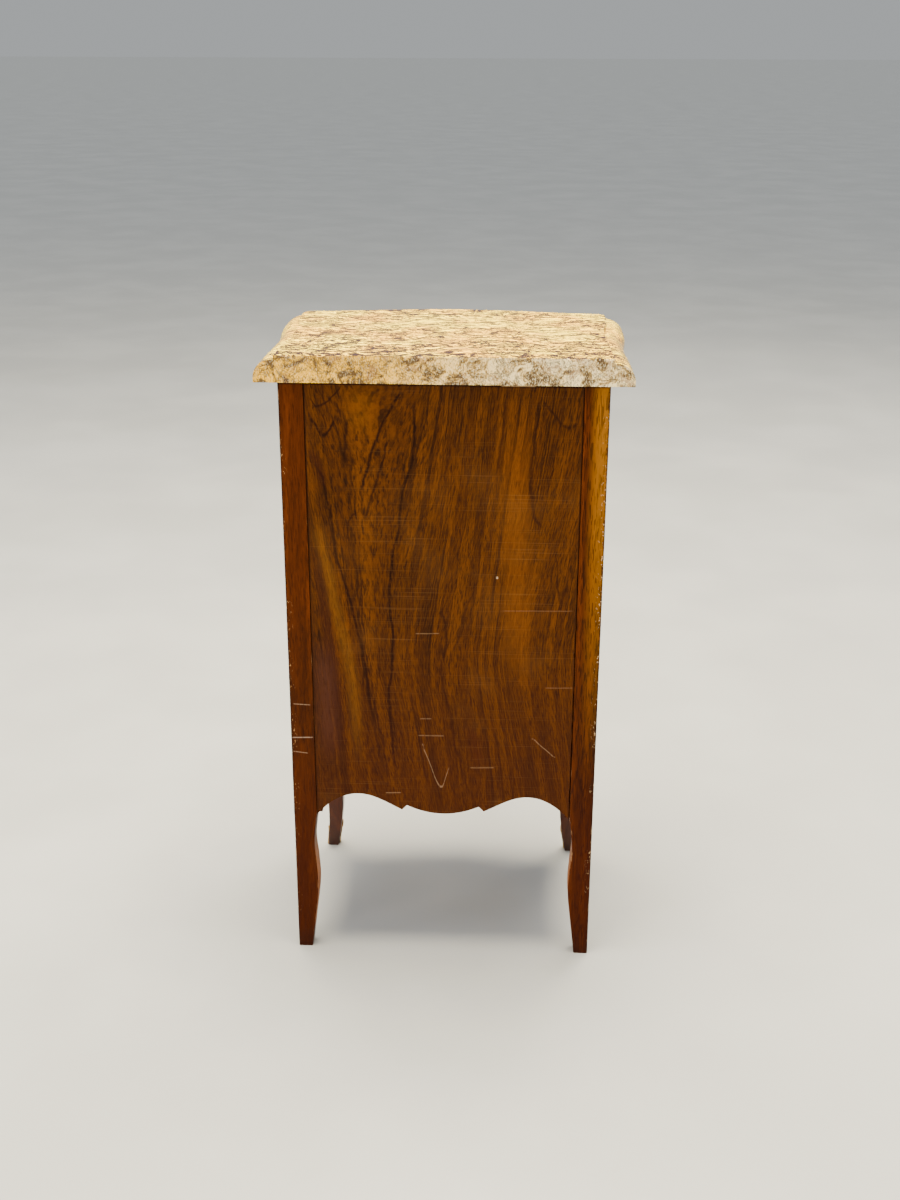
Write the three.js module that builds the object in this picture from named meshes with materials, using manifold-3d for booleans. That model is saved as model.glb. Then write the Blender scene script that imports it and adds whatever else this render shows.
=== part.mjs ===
// Small chest of three drawers with a bowed front, short cabriole legs, gilt mounts and a loose
// marble top. Millimetres, +Z up. The origin is on the floor under the middle of the marble, the
// drawers face -Y and left is -X. Depths are counted forwards from the back plane of the case.

import * as THREE from 'three';
import { mergeVertices } from 'three/addons/utils/BufferGeometryUtils.js';
import Module from 'manifold-3d';

const wasm = await Module();
wasm.setup();

// Gaps between pieces
const SEAT_GAP = 0.3; // between a cut piece and what it sits on or in
const DRAWER_GAP = 0.8; // round a drawer front in its opening
const SIDE_PLAY = 1.2; // between a drawer's side and its guide
const PIN_PLAY = 0.4; // round a bail's pin in its post

// Plan of the case: serpentine sides and a bowed front
const LOBE_HALF_WIDTH = 182; // at the widest, near the front
const LOBE_DEPTH = 228;
const BACK_SET_IN = 2.5; // how much narrower each half is at the back
const WAIST_SET_IN = 6.5; // and at the waist
const WAIST_DEPTH = 150;
const FRONT_CROWN = 282; // depth of the case at the middle of the bow
const FRONT_FALL = 24; // how far the bow falls back
const FRONT_WAVE = 210; // half width over which it falls
const CORNER_RADIUS = 8;

// Marble slab
const MARBLE_THICKNESS = 30;
const MARBLE_OVERHANG = 25.8;
const MARBLE_BACK_LAP = 3;
const MARBLE_NOSE = 4.5; // upright band under the quarter round
const OVOLO_WIDTH = 20.8;
const STEP_HEIGHT = 5;
const STEP_SETBACK = 2; // ledge between the quarter round and the step
const STEP_ROUND = 1.5;
const OVOLO_STEPS = 6;
const SIDE_STEPS = 12;
const CORNER_STEPS = 4;
const FRONT_STEPS = 9;

// Heights of the case
const CASE_HEIGHT = 715;
const LEG_HEIGHT = 186; // where the scalloped edges spring from the legs
const APRON_HEIGHT = 52; // from the springing of its scalloped edge to its top
const TOP_RAIL_HEIGHT = 14;
const RAIL_HEIGHT = 12;
const DRAWER_LEVELS = ['bottom', 'middle', 'top'];

// Posts and legs
const REAR_POST_WIDTH = 27.5;
const REAR_POST_DEPTH = 28;
const POST_LIP = 6; // how far the rear post laps behind the back panel
const FRONT_POST_WIDTH = 34;
const POST_FLANK = 13.1; // side face of a front post, behind its cant
const CANT_WIDTH = 15;
const CANT_DEPTH = 17.3;
const LEG_STEPS = 14;
const CANT_ROUND = 1.5; // how far the middle of the cant stands out
const LINE_TENSION = 0.5; // of the smooth lines through the rows below

// Each row: height, and the width of the rear leg there
const REAR_LEG_LINE = [
  [0, 17],
  [38, 21.5],
  [84, 26.5],
  [118, 25.6],
  [150, 23.6],
  [LEG_HEIGHT, REAR_POST_WIDTH],
];

// Each row: height, how far the corner stands in and back from the post's, and the leg's width
const FRONT_LEG_LINE = [
  [0, 9.5, 2.8, 14],
  [30, 11.8, 6.5, 16.5],
  [70, 12.6, 9.5, 20],
  [110, 9.5, 6.5, 22.5],
  [150, 4, 2, 27],
];

// Boards
const SIDE_THICKNESS = 14;
const PANEL_THICKNESS = 8;
const PANEL_RECESS = 0.6;
const APRON_THICKNESS = 20;
const REAR_RAIL_DEPTH = 19;
const BOTTOM_THICKNESS = 8;
const TENON_LENGTH = 10;
const TENON_WIDTH = 12;
const TENON_HEIGHT = 8;
const TENON_SETBACK = 8; // from the back of a rail to its tenon

// Scalloped edges: a wide arch by each leg, a cusp and a shallow lobe in the middle
const WIDE_SCALLOP = {
  archFromLeg: 50,
  rise: 30,
  cusp: 49,
  cuspRise: 9.5,
  step: 43,
  stepRise: 15.7,
  lobeRise: 5.3,
};
const SIDE_SCALLOP = {
  archFromLeg: 36,
  rise: 24,
  cusp: 30,
  cuspRise: 9,
  step: 25,
  stepRise: 14,
  lobeRise: 6,
};
const SCALLOP_STEPS = 7;

// Fullness of the scalloped curves, as shares of their spans
const SPRING_REACH = 0.15;
const SPRING_RISE = 0.36;
const ARCH_REACH = 0.45;
const SHOULDER_REACH = 0.36;
const CUSP_REACH = 0.38;

// Runners and guides
const RUNNER_LEDGE = 18;
const RUNNER_HEIGHT = 12;
const GUIDE_HEIGHT = 12;

// Drawers
const FRONT_THICKNESS = 20;
const FRONT_LIP = 7;
const DRAWER_SIDE = 8;
const DRAWER_TOP_GAP = 16; // from the top of the sides to the top of the opening
const DRAWER_REAR_GAP = 8;
const DRAWER_BACK = 7;
const DRAWER_BACK_INSET = 6;
const DRAWER_BACK_DROP = 6;
const DADO = 3;
const DRAWER_FLOOR = 5;
const FLOOR_RAISE = 8;
const FLOOR_GROOVE = 4;
const TAIL_COUNT = 3;
const TAIL_BASE = 15;
const TAIL_TIP = 21;
const TAIL_FIRST = 32; // height of the middle of the lowest dovetail
const TAIL_PITCH = 36;

// Locks and keyholes
const LOCK_HALF_WIDTH = 26;
const LOCK_HEIGHT = 36;
const LOCK_THICKNESS = 9;
const LOCK_LET_IN = 6;
const LOCK_DROP = 3;
const KEYHOLE_DROP = 24; // below the top of the drawer front
const KEYHOLE_RADIUS = 2.4;
const KEYHOLE_SLOT = 2.2;
const KEYHOLE_LENGTH = 8;
const KEY_POCKET = 5;

// Handles and gilt mounts
const HANDLE_FROM_POST = 72; // middle of a handle from the post's inner face
const HANDLE_RISE = 8; // pivot above the middle of the drawer front
const PLATE_THICKNESS = 2.4;
const PLATE_HALF_WIDTH = 43;
const PLATE_HALF_HEIGHT = 17;
const PLATE_DROP = 3; // middle of the plate below the pivot
const PLATE_SUNK = 3; // how far a mount runs into its seat before it is cut to it
const POST_OFFSET = 27;
const POST_RADIUS = 3;
const POST_BALL = 4.4;
const PIVOT_OUT = 12;
const BAIL_RADIUS = 1.9;
const BAIL_HALF_WIDTH = 35;
const BAIL_DROP = 27;
const BAIL_SQUARENESS = 0.62;
const BAIL_KNOB = 3.2;
const BAIL_KNUCKLE = 2.4;
const BAIL_STEPS = 14;
const PIN_INNER = 23.5;
const TUBE_SIDES = 8;
const BALL_RINGS = 5;
const PLATE_LOBES = 6;
const LOBE_DEEP = 0.07;
const LOBE_POINTS = 6; // on each lobe's edge
const ESCUTCHEON_HALF_WIDTH = 16;
const ESCUTCHEON_HALF_HEIGHT = 22;
const CHUTE_HALF_WIDTH = 11;
const CHUTE_LENGTH = 128;
const CHUTE_DROP = 8;
const CHUTE_THICKNESS = 5;
const CHUTE_STEPS = 12;
const CHUTE_TAPER = 0.55; // power by which it narrows downwards
const CHUTE_LEAVES = 3.5;
const CHUTE_LEAF_DEEP = 0.16;
const CHUTE_TIP = 1.2; // half width of its lower end
const APRON_MOUNT_HALF_WIDTH = 31;
const APRON_MOUNT_HEIGHT = 34;
const APRON_MOUNT_THICKNESS = 5;
const APRON_MOUNT_DROP = 8; // from the top of the apron
const SHELL_RIBS = 7;
const SHELL_RIB_POINTS = 4;
const SHELL_RIB_DEEP = 0.07;
const SHELL_FAN = 0.62; // share of the shell's height above its hinge
const SHELL_SWEEP = 0.08; // how far the fan passes level at each end, as a share of a half turn
const MOUNT_BEVEL = 1;
const SABOT_WALL = 2.2;
const SABOT_HEIGHT = 58;
const SABOT_CUFF = 20;
const SABOT_TIP_STEP = 8;
const SABOT_WING = 13;
const SABOT_TIP = 0.75; // where the side leaves' tips and the notches stand, as shares of the wing
const SABOT_NOTCH = 0.4;
const SABOT_RETURN = 9; // how far it runs back from the foot's outer corner
const SLOPE_REACH = 0.5; // each side of a point where a line's slope is taken

// Sizes that follow from those above
const CASE_BACK_Y = (FRONT_CROWN + MARBLE_OVERHANG - MARBLE_BACK_LAP) / 2;
const BACK_HALF_WIDTH = LOBE_HALF_WIDTH - BACK_SET_IN;
const WAIST_HALF_WIDTH = LOBE_HALF_WIDTH - WAIST_SET_IN;
const FRONT_POST_INNER = LOBE_HALF_WIDTH - FRONT_POST_WIDTH; // half the opening's width
const HANDLE_OFFSET = FRONT_POST_INNER - HANDLE_FROM_POST;
const APRON_TOP = LEG_HEIGHT + APRON_HEIGHT;
const CANT_FRONT = LOBE_HALF_WIDTH - CANT_WIDTH; // where the cant meets the bow
const CORNER_DEPTH = frontDepth(CANT_FRONT);
const FRAME_BACK_DEPTH = CORNER_DEPTH - CANT_DEPTH - POST_FLANK; // back of the posts and the rails
const REBATE_DEPTH = PANEL_RECESS + PANEL_THICKNESS + SEAT_GAP;
const PANEL_HALF_WIDTH = BACK_HALF_WIDTH - REAR_POST_WIDTH;
const REAR_POST_INNER = PANEL_HALF_WIDTH - POST_LIP;
const OPENING_HEIGHT = (CASE_HEIGHT - TOP_RAIL_HEIGHT - APRON_TOP - RAIL_HEIGHT * 2) / DRAWER_LEVELS.length;
const LEVEL_PITCH = OPENING_HEIGHT + RAIL_HEIGHT;
const FRONT_HALF = FRONT_POST_INNER - DRAWER_GAP;
const BOX_HALF = Math.min(REAR_POST_INNER, FRONT_POST_INNER) - SIDE_PLAY;
const BOX_INNER = BOX_HALF - DRAWER_SIDE;
const BOX_REAR = REBATE_DEPTH + DRAWER_REAR_GAP;
const BOX_HEIGHT = OPENING_HEIGHT - DRAWER_TOP_GAP;
const FRONT_TOP = OPENING_HEIGHT - DRAWER_GAP;
const FLOOR_TOP = FLOOR_RAISE + DRAWER_FLOOR;
const GUIDE_INNER = BOX_HALF + SIDE_PLAY / 2;
const GUIDE_OUTER = WAIST_HALF_WIDTH - SIDE_THICKNESS - SEAT_GAP;
const PAST = 50; // how far cutting solids run past what they cut

const MATERIALS = {
  marble: { color: '#dcc08a', roughness: 0.3, metalness: 0 },
  walnut: { color: '#7b451f', roughness: 0.42, metalness: 0 },
  post: { color: '#7a3d1d', roughness: 0.4, metalness: 0 },
  veneer: { color: '#8a4f26', roughness: 0.32, metalness: 0 },
  beech: { color: '#b98a5a', roughness: 0.65, metalness: 0 },
  oak: { color: '#c09a66', roughness: 0.7, metalness: 0 },
  gilt: { color: '#b98f3e', roughness: 0.32, metalness: 1 },
  iron: { color: '#4a4540', roughness: 0.5, metalness: 0.9 },
};

const chest = new THREE.Group();

// Adds a piece to a group as a named mesh with a material of its own
function addPiece(parent, name, geometry, finish) {
  const material = new THREE.MeshStandardMaterial(MATERIALS[finish]);
  const mesh = new THREE.Mesh(geometry, material);
  mesh.name = name;
  parent.add(mesh);
  return mesh;
}

// Solids and geometry

function toSolid(geometry) {
  const bare = geometry.clone();
  bare.deleteAttribute('normal');
  bare.deleteAttribute('uv');
  const merged = mergeVertices(bare);
  const vertProperties = Float32Array.from(merged.attributes.position.array);
  const triVerts = Uint32Array.from(merged.index.array);
  return new wasm.Manifold(new wasm.Mesh({ numProp: 3, vertProperties, triVerts }));
}

function toGeometry(solid) {
  const mesh = solid.getMesh();
  const geometry = new THREE.BufferGeometry();
  geometry.setAttribute('position', new THREE.BufferAttribute(mesh.vertProperties, 3));
  geometry.setIndex(new THREE.BufferAttribute(mesh.triVerts, 1));
  geometry.computeVertexNormals();
  return geometry;
}

function cutAway(geometry, cutters) {
  return toGeometry(cutters.reduce((rest, cutter) => rest.subtract(toSolid(cutter)), toSolid(geometry)));
}

function joined(geometries) {
  return toGeometry(geometries.map(toSolid).reduce((whole, piece) => whole.add(piece)));
}

// Outlines are lists of number pairs

function shapeOf(outline) {
  return new THREE.Shape(outline.map(([across, up]) => new THREE.Vector2(across, up)));
}

function slab(outline, thickness) {
  return new THREE.ExtrudeGeometry(shapeOf(outline), { depth: thickness, bevelEnabled: false });
}

// A plan outline of x and depth, raised from low to high
function upright(outline, low, high) {
  const plan = outline.map(([x, depth]) => [x, CASE_BACK_Y - depth]);
  return slab(plan, high - low).translate(0, 0, low);
}

// An outline of x and height, carried forwards from one depth to another
function facing(outline, rear, front) {
  const turn = new THREE.Matrix4().makeBasis(
    new THREE.Vector3(1, 0, 0), new THREE.Vector3(0, 0, 1), new THREE.Vector3(0, -1, 0));
  return slab(outline, front - rear).applyMatrix4(turn).translate(0, CASE_BACK_Y - rear, 0);
}

// An outline of depth and height, carried across from left to right
function sideways(outline, left, right) {
  const turn = new THREE.Matrix4().makeBasis(
    new THREE.Vector3(0, 1, 0), new THREE.Vector3(0, 0, 1), new THREE.Vector3(1, 0, 0));
  const section = outline.map(([depth, up]) => [CASE_BACK_Y - depth, up]);
  return slab(section, right - left).applyMatrix4(turn).translate(left, 0, 0);
}

// A box between two corners of x, depth and height
function block([x0, rear, low], [x1, front, high]) {
  const box = new THREE.BoxGeometry(Math.abs(x1 - x0), front - rear, high - low);
  return box.translate((x0 + x1) / 2, CASE_BACK_Y - (rear + front) / 2, (low + high) / 2);
}

// A closed skin through plan rings of x and depth, each ring with its own height
function loft(rings) {
  const toPlan = ([x, depth]) => new THREE.Vector2(x, CASE_BACK_Y - depth);
  const plans = rings.map(({ ring }) => ring.map(toPlan));
  const clockwise = THREE.ShapeUtils.isClockWise(plans[0]);
  const turned = plans.map((plan) => (clockwise ? plan.slice().reverse() : plan));
  const count = turned[0].length;
  const positions = [];
  const indices = [];
  turned.forEach((plan, level) => {
    plan.forEach((point) => positions.push(point.x, point.y, rings[level].height));
  });
  for (let level = 0; level + 1 < turned.length; level += 1) {
    for (let i = 0; i < count; i += 1) {
      const a = level * count + i;
      const b = level * count + ((i + 1) % count);
      indices.push(a, b, b + count, a, b + count, a + count);
    }
  }
  const last = (turned.length - 1) * count;
  THREE.ShapeUtils.triangulateShape(turned[0], []).forEach(([a, b, c]) => indices.push(a, c, b));
  THREE.ShapeUtils.triangulateShape(turned[turned.length - 1], [])
    .forEach(([a, b, c]) => indices.push(last + a, last + b, last + c));
  const geometry = new THREE.BufferGeometry();
  geometry.setAttribute('position', new THREE.Float32BufferAttribute(positions, 3));
  geometry.setIndex(indices);
  geometry.computeVertexNormals();
  return geometry;
}

function mirrored(outline, side) {
  return outline.map(([x, depth]) => [x * side, depth]);
}

// Lines of the plan

function ease(share) {
  return (1 - Math.cos(Math.PI * share)) / 2;
}

function steps(count) {
  return Array.from({ length: count + 1 }, (_, i) => i / count);
}

function caseHalfWidth(depth) {
  if (depth <= WAIST_DEPTH) {
    const share = Math.max(depth, 0) / WAIST_DEPTH;
    return BACK_HALF_WIDTH + (WAIST_HALF_WIDTH - BACK_HALF_WIDTH) * ease(share);
  }
  const share = Math.min((depth - WAIST_DEPTH) / (LOBE_DEPTH - WAIST_DEPTH), 1);
  return WAIST_HALF_WIDTH + (LOBE_HALF_WIDTH - WAIST_HALF_WIDTH) * ease(share);
}

function frontDepth(x) {
  return FRONT_CROWN - FRONT_FALL * ease(x / FRONT_WAVE);
}

function slopeOf(line, at) {
  return (line(at + SLOPE_REACH) - line(at - SLOPE_REACH)) / (SLOPE_REACH * 2);
}

// The bowed line between two x values, set back by some depth
function bowLine(from, to, setback, count = FRONT_STEPS * 2) {
  return steps(count).map((share) => {
    const x = from + (to - from) * share;
    return [x, frontDepth(x) - setback];
  });
}

// Marble

// The right half of the case's line with its outward normals, from the back to the middle front
function caseLine() {
  const centreX = LOBE_HALF_WIDTH - CORNER_RADIUS;
  const frontSlope = Math.atan(-slopeOf(frontDepth, centreX));
  const turn = Math.PI / 2 - frontSlope;
  const endX = centreX + CORNER_RADIUS * Math.cos(turn);
  const centreDepth = frontDepth(endX) - CORNER_RADIUS * Math.sin(turn);
  const side = steps(SIDE_STEPS).map((share) => {
    const depth = -MARBLE_BACK_LAP + (centreDepth + MARBLE_BACK_LAP) * share;
    const normal = new THREE.Vector2(1, -slopeOf(caseHalfWidth, depth)).normalize();
    return share === 0 ? { x: BACK_HALF_WIDTH, depth, normal: new THREE.Vector2(1, 0) }
      : { x: caseHalfWidth(depth), depth, normal };
  });
  const corner = steps(CORNER_STEPS).slice(1).map((share) => {
    const normal = new THREE.Vector2(Math.cos(turn * share), Math.sin(turn * share));
    return { x: centreX + CORNER_RADIUS * normal.x, depth: centreDepth + CORNER_RADIUS * normal.y, normal };
  });
  const front = steps(FRONT_STEPS).slice(1).map((share) => {
    const x = endX * (1 - share);
    const normal = new THREE.Vector2(-slopeOf(frontDepth, x), 1).normalize();
    return { x, depth: frontDepth(x), normal };
  });
  return [...side, ...corner, ...front];
}

function marbleRing(overhang) {
  const right = caseLine()
    .map(({ x, depth, normal }) => [x + normal.x * overhang, depth + normal.y * overhang]);
  const left = mirrored(right.slice(0, -1).reverse(), -1);
  return [...right, ...left];
}

function marbleTop() {
  const ledge = MARBLE_OVERHANG - OVOLO_WIDTH;
  const ovoloHeight = MARBLE_THICKNESS - MARBLE_NOSE - STEP_HEIGHT;
  const stepFoot = MARBLE_THICKNESS - STEP_HEIGHT;
  const profile = [[MARBLE_OVERHANG, 0]];
  steps(OVOLO_STEPS).forEach((share) => {
    const angle = share * Math.PI / 2;
    profile.push([ledge + OVOLO_WIDTH * Math.cos(angle), MARBLE_NOSE + ovoloHeight * Math.sin(angle)]);
  });
  profile.push([ledge - STEP_SETBACK, stepFoot]);
  profile.push([ledge - STEP_SETBACK, MARBLE_THICKNESS - STEP_ROUND]);
  profile.push([ledge - STEP_SETBACK - STEP_ROUND, MARBLE_THICKNESS]);
  return loft(profile.map(([overhang, up]) => ({ ring: marbleRing(overhang), height: CASE_HEIGHT + up })));
}

// Legs

// Reads rows that start with a height as one smooth line through all their values
function smoothLine(rows) {
  const lines = rows[0].slice(1).map((_, column) => {
    const points = rows.map((row) => new THREE.Vector3(row[column + 1], 0, row[0]));
    return new THREE.CatmullRomCurve3(points, false, 'catmullrom', LINE_TENSION);
  });
  return steps(LEG_STEPS).map((share) => {
    const points = lines.map((line) => line.getPoint(share));
    return { height: points[0].z, values: points.map((point) => point.x) };
  });
}

function rearLegRing(side, width) {
  const outer = caseHalfWidth(0);
  const depth = width * REAR_POST_DEPTH / REAR_POST_WIDTH;
  const ring = [[outer - width, 0], [outer, 0], [caseHalfWidth(depth), depth], [outer - width, depth]];
  return mirrored(ring, side);
}

function rearPostOutline(side) {
  const outline = [
    [PANEL_HALF_WIDTH, 0],
    [caseHalfWidth(0), 0],
    [caseHalfWidth(REAR_POST_DEPTH), REAR_POST_DEPTH],
    [REAR_POST_INNER, REAR_POST_DEPTH],
    [REAR_POST_INNER, REBATE_DEPTH],
    [PANEL_HALF_WIDTH, REBATE_DEPTH],
  ];
  return mirrored(outline, side);
}

function rearLeg(side) {
  const rings = smoothLine(REAR_LEG_LINE)
    .map(({ height, values }) => ({ height, ring: rearLegRing(side, values[0]) }));
  const leg = joined([loft(rings), upright(rearPostOutline(side), LEG_HEIGHT, CASE_HEIGHT)]);
  return cutAway(leg, [rearRail(SEAT_GAP)]);
}

// The post's section, from its inner back corner round the outside
function frontPostOutline() {
  return [
    [FRONT_POST_INNER, FRAME_BACK_DEPTH],
    [caseHalfWidth(FRAME_BACK_DEPTH), FRAME_BACK_DEPTH],
    [LOBE_HALF_WIDTH, CORNER_DEPTH - CANT_DEPTH],
    cantMiddle(),
    [CANT_FRONT, CORNER_DEPTH],
    [FRONT_POST_INNER, frontDepth(FRONT_POST_INNER)],
  ];
}

function cantMiddle() {
  return [(LOBE_HALF_WIDTH + CANT_FRONT) / 2 + CANT_ROUND, CORNER_DEPTH - CANT_DEPTH / 2 + CANT_ROUND];
}

// Where a point of the post's section goes as the leg draws in, moves back and narrows
function legPoint([x, depth], [inset, setback, width]) {
  const scale = width / FRONT_POST_WIDTH;
  return [
    LOBE_HALF_WIDTH - inset + (x - LOBE_HALF_WIDTH) * scale,
    CORNER_DEPTH - setback + (depth - CORNER_DEPTH) * scale,
  ];
}

function frontLegRing(values) {
  return frontPostOutline().map((point) => legPoint(point, values));
}

function frontLegRows() {
  return [...FRONT_LEG_LINE, [LEG_HEIGHT, 0, 0, FRONT_POST_WIDTH]];
}

function frontLeg(side) {
  const rings = smoothLine(frontLegRows())
    .map(({ height, values }) => ({ height, ring: mirrored(frontLegRing(values), side) }));
  const post = upright(mirrored(frontPostOutline(), side), LEG_HEIGHT, CASE_HEIGHT);
  const sockets = railLevels().map(({ low, high }) => railTenons(low, high, SEAT_GAP)).flat();
  return cutAway(joined([loft(rings), post]), sockets);
}

// Frame of the case

// A symmetrical scalloped line of across and height, from one leg to the other
function scallopLine(halfSpan, sizes) {
  const archTop = halfSpan - sizes.archFromLeg;
  const up = (rise) => LEG_HEIGHT + rise;
  const flank = new THREE.CubicBezierCurve(
    new THREE.Vector2(halfSpan, up(0)),
    new THREE.Vector2(halfSpan - sizes.archFromLeg * SPRING_REACH, up(sizes.rise * SPRING_RISE)),
    new THREE.Vector2(archTop + sizes.archFromLeg * ARCH_REACH, up(sizes.rise)),
    new THREE.Vector2(archTop, up(sizes.rise)));
  const fall = archTop - sizes.cusp;
  const shoulder = new THREE.CubicBezierCurve(
    new THREE.Vector2(archTop, up(sizes.rise)),
    new THREE.Vector2(archTop - fall * SHOULDER_REACH, up(sizes.rise)),
    new THREE.Vector2(sizes.cusp + fall * CUSP_REACH, up((sizes.rise + sizes.cuspRise) / 2)),
    new THREE.Vector2(sizes.cusp, up(sizes.cuspRise)));
  const lobe = new THREE.QuadraticBezierCurve(
    new THREE.Vector2(sizes.step, up(sizes.stepRise)),
    new THREE.Vector2(sizes.step / 2, up(sizes.lobeRise)),
    new THREE.Vector2(0, up(sizes.lobeRise)));
  const half = [
    ...flank.getPoints(SCALLOP_STEPS),
    ...shoulder.getPoints(SCALLOP_STEPS).slice(1),
    ...lobe.getPoints(SCALLOP_STEPS),
  ].map((point) => [point.x, point.y]);
  return [...half, ...mirrored(half.slice(0, -1).reverse(), -1)];
}

function backPanel() {
  const halfWidth = PANEL_HALF_WIDTH - SEAT_GAP;
  const outline = [
    ...scallopLine(halfWidth, WIDE_SCALLOP),
    [-halfWidth, CASE_HEIGHT],
    [halfWidth, CASE_HEIGHT],
  ];
  return facing(outline, PANEL_RECESS, PANEL_RECESS + PANEL_THICKNESS);
}

function sidePanel(side) {
  const outer = steps(SIDE_STEPS).map((share) => {
    const depth = REAR_POST_DEPTH + (FRAME_BACK_DEPTH - REAR_POST_DEPTH) * share;
    return [caseHalfWidth(depth), depth];
  });
  const inner = outer.map(([x, depth]) => [x - SIDE_THICKNESS, depth]).reverse();
  const board = upright(mirrored([...outer, ...inner], side), LEG_HEIGHT, CASE_HEIGHT);
  const middle = (REAR_POST_DEPTH + FRAME_BACK_DEPTH) / 2;
  const halfSpan = (FRAME_BACK_DEPTH - REAR_POST_DEPTH) / 2;
  const edge = scallopLine(halfSpan, SIDE_SCALLOP).map(([across, up]) => [middle + across, up]);
  const below = [...edge, [middle - halfSpan, LEG_HEIGHT - PAST], [middle + halfSpan, LEG_HEIGHT - PAST]];
  return cutAway(board, [sideways(below, -LOBE_HALF_WIDTH - PAST, LOBE_HALF_WIDTH + PAST)]);
}

function railLevels() {
  const between = DRAWER_LEVELS.slice(1).map((_, i) => {
    const high = APRON_TOP + LEVEL_PITCH * (i + 1);
    return { low: high - RAIL_HEIGHT, high };
  });
  const apron = { low: APRON_TOP - RAIL_HEIGHT, high: APRON_TOP };
  return [apron, ...between, { low: CASE_HEIGHT - TOP_RAIL_HEIGHT, high: CASE_HEIGHT }];
}

// A tenon at each end of a rail, or the socket for it when grown by a gap
function railTenons(low, high, gap) {
  const middle = (low + high) / 2;
  const rise = TENON_HEIGHT / 2 + gap;
  const rear = FRAME_BACK_DEPTH + TENON_SETBACK;
  const tip = FRONT_POST_INNER + TENON_LENGTH + gap;
  return [-1, 1].map((side) => block(
    [side * (FRONT_POST_INNER - gap), rear - gap, middle - rise],
    [side * tip, rear + TENON_WIDTH + gap, middle + rise]));
}

function frontRail({ low, high }) {
  const line = bowLine(-FRONT_POST_INNER, FRONT_POST_INNER, 0);
  const outline = [...line, [FRONT_POST_INNER, FRAME_BACK_DEPTH], [-FRONT_POST_INNER, FRAME_BACK_DEPTH]];
  return joined([upright(outline, low, high), ...railTenons(low, high, 0)]);
}

function frontApron() {
  const [{ low, high }] = railLevels();
  const line = bowLine(-FRONT_POST_INNER, FRONT_POST_INNER, 0);
  const inner = bowLine(FRONT_POST_INNER, -FRONT_POST_INNER, APRON_THICKNESS);
  const skirt = upright([...line, ...inner], LEG_HEIGHT, high);
  const edge = scallopLine(FRONT_POST_INNER, WIDE_SCALLOP);
  const below = [...edge, [-FRONT_POST_INNER, LEG_HEIGHT - PAST], [FRONT_POST_INNER, LEG_HEIGHT - PAST]];
  const shaped = cutAway(skirt, [facing(below, 0, FRONT_CROWN + PAST)]);
  return joined([shaped, frontRail({ low, high })]);
}

// The rail that ties the rear posts, or the sockets for its ends when grown by a gap
function rearRail(gap) {
  const low = CASE_HEIGHT - TOP_RAIL_HEIGHT;
  const rear = REBATE_DEPTH + SEAT_GAP;
  const front = rear + REAR_RAIL_DEPTH;
  const middle = (low + CASE_HEIGHT) / 2;
  const rise = TENON_HEIGHT / 2 + gap;
  const half = REAR_POST_INNER + TENON_LENGTH + gap;
  const inset = (REAR_RAIL_DEPTH - TENON_WIDTH) / 2;
  const tenonLow = [-half, rear + inset - gap, middle - rise];
  const tenonHigh = [half, front - inset + gap, middle + rise];
  const tenon = block(tenonLow, tenonHigh);
  if (gap > 0) {
    return tenon;
  }
  return joined([block([-REAR_POST_INNER, rear, low], [REAR_POST_INNER, front, CASE_HEIGHT]), tenon]);
}

// An L-shaped bar: the drawer's side runs on its ledge and beside its guide
function runner(side, base) {
  const inner = GUIDE_INNER - RUNNER_LEDGE;
  const section = [
    [inner, base - RUNNER_HEIGHT],
    [GUIDE_OUTER, base - RUNNER_HEIGHT],
    [GUIDE_OUTER, base + GUIDE_HEIGHT],
    [GUIDE_INNER, base + GUIDE_HEIGHT],
    [GUIDE_INNER, base],
    [inner, base],
  ];
  return facing(mirrored(section, side), REAR_POST_DEPTH, FRAME_BACK_DEPTH);
}

function bottomBoard() {
  const high = APRON_TOP - RUNNER_HEIGHT;
  const narrow = REAR_POST_INNER - SEAT_GAP;
  const rear = REBATE_DEPTH + SEAT_GAP;
  const half = [
    [narrow, rear],
    [narrow, REAR_POST_DEPTH + SEAT_GAP],
    [GUIDE_OUTER, REAR_POST_DEPTH + SEAT_GAP],
    [GUIDE_OUTER, FRAME_BACK_DEPTH - SEAT_GAP],
  ];
  return upright([...half, ...mirrored(half.slice().reverse(), -1)], high - BOTTOM_THICKNESS, high);
}

// Drawers: heights are counted from the top of the runners, so each drawer is one group

const SHOULDER_DEPTH = frontDepth(FRONT_HALF) - FRONT_THICKNESS;

function frontInnerLine(extra, reach) {
  return bowLine(BOX_INNER, -BOX_INNER, FRONT_THICKNESS - extra)
    .map(([x, depth]) => [x, Math.max(depth, reach)]);
}

function dovetails(side, gap) {
  const from = BOX_INNER - gap;
  const to = BOX_HALF + (gap > 0 ? PAST : 0);
  return Array.from({ length: TAIL_COUNT }, (_, i) => {
    const middle = TAIL_FIRST + TAIL_PITCH * i;
    const tip = SHOULDER_DEPTH + FRONT_THICKNESS - FRONT_LIP - SEAT_GAP + gap;
    const outline = [
      [SHOULDER_DEPTH - gap, middle - TAIL_BASE / 2 - gap],
      [tip, middle - TAIL_TIP / 2 - gap],
      [tip, middle + TAIL_TIP / 2 + gap],
      [SHOULDER_DEPTH - gap, middle + TAIL_BASE / 2 + gap],
    ];
    return side > 0 ? sideways(outline, from, to) : sideways(outline, -to, -from);
  });
}

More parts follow.
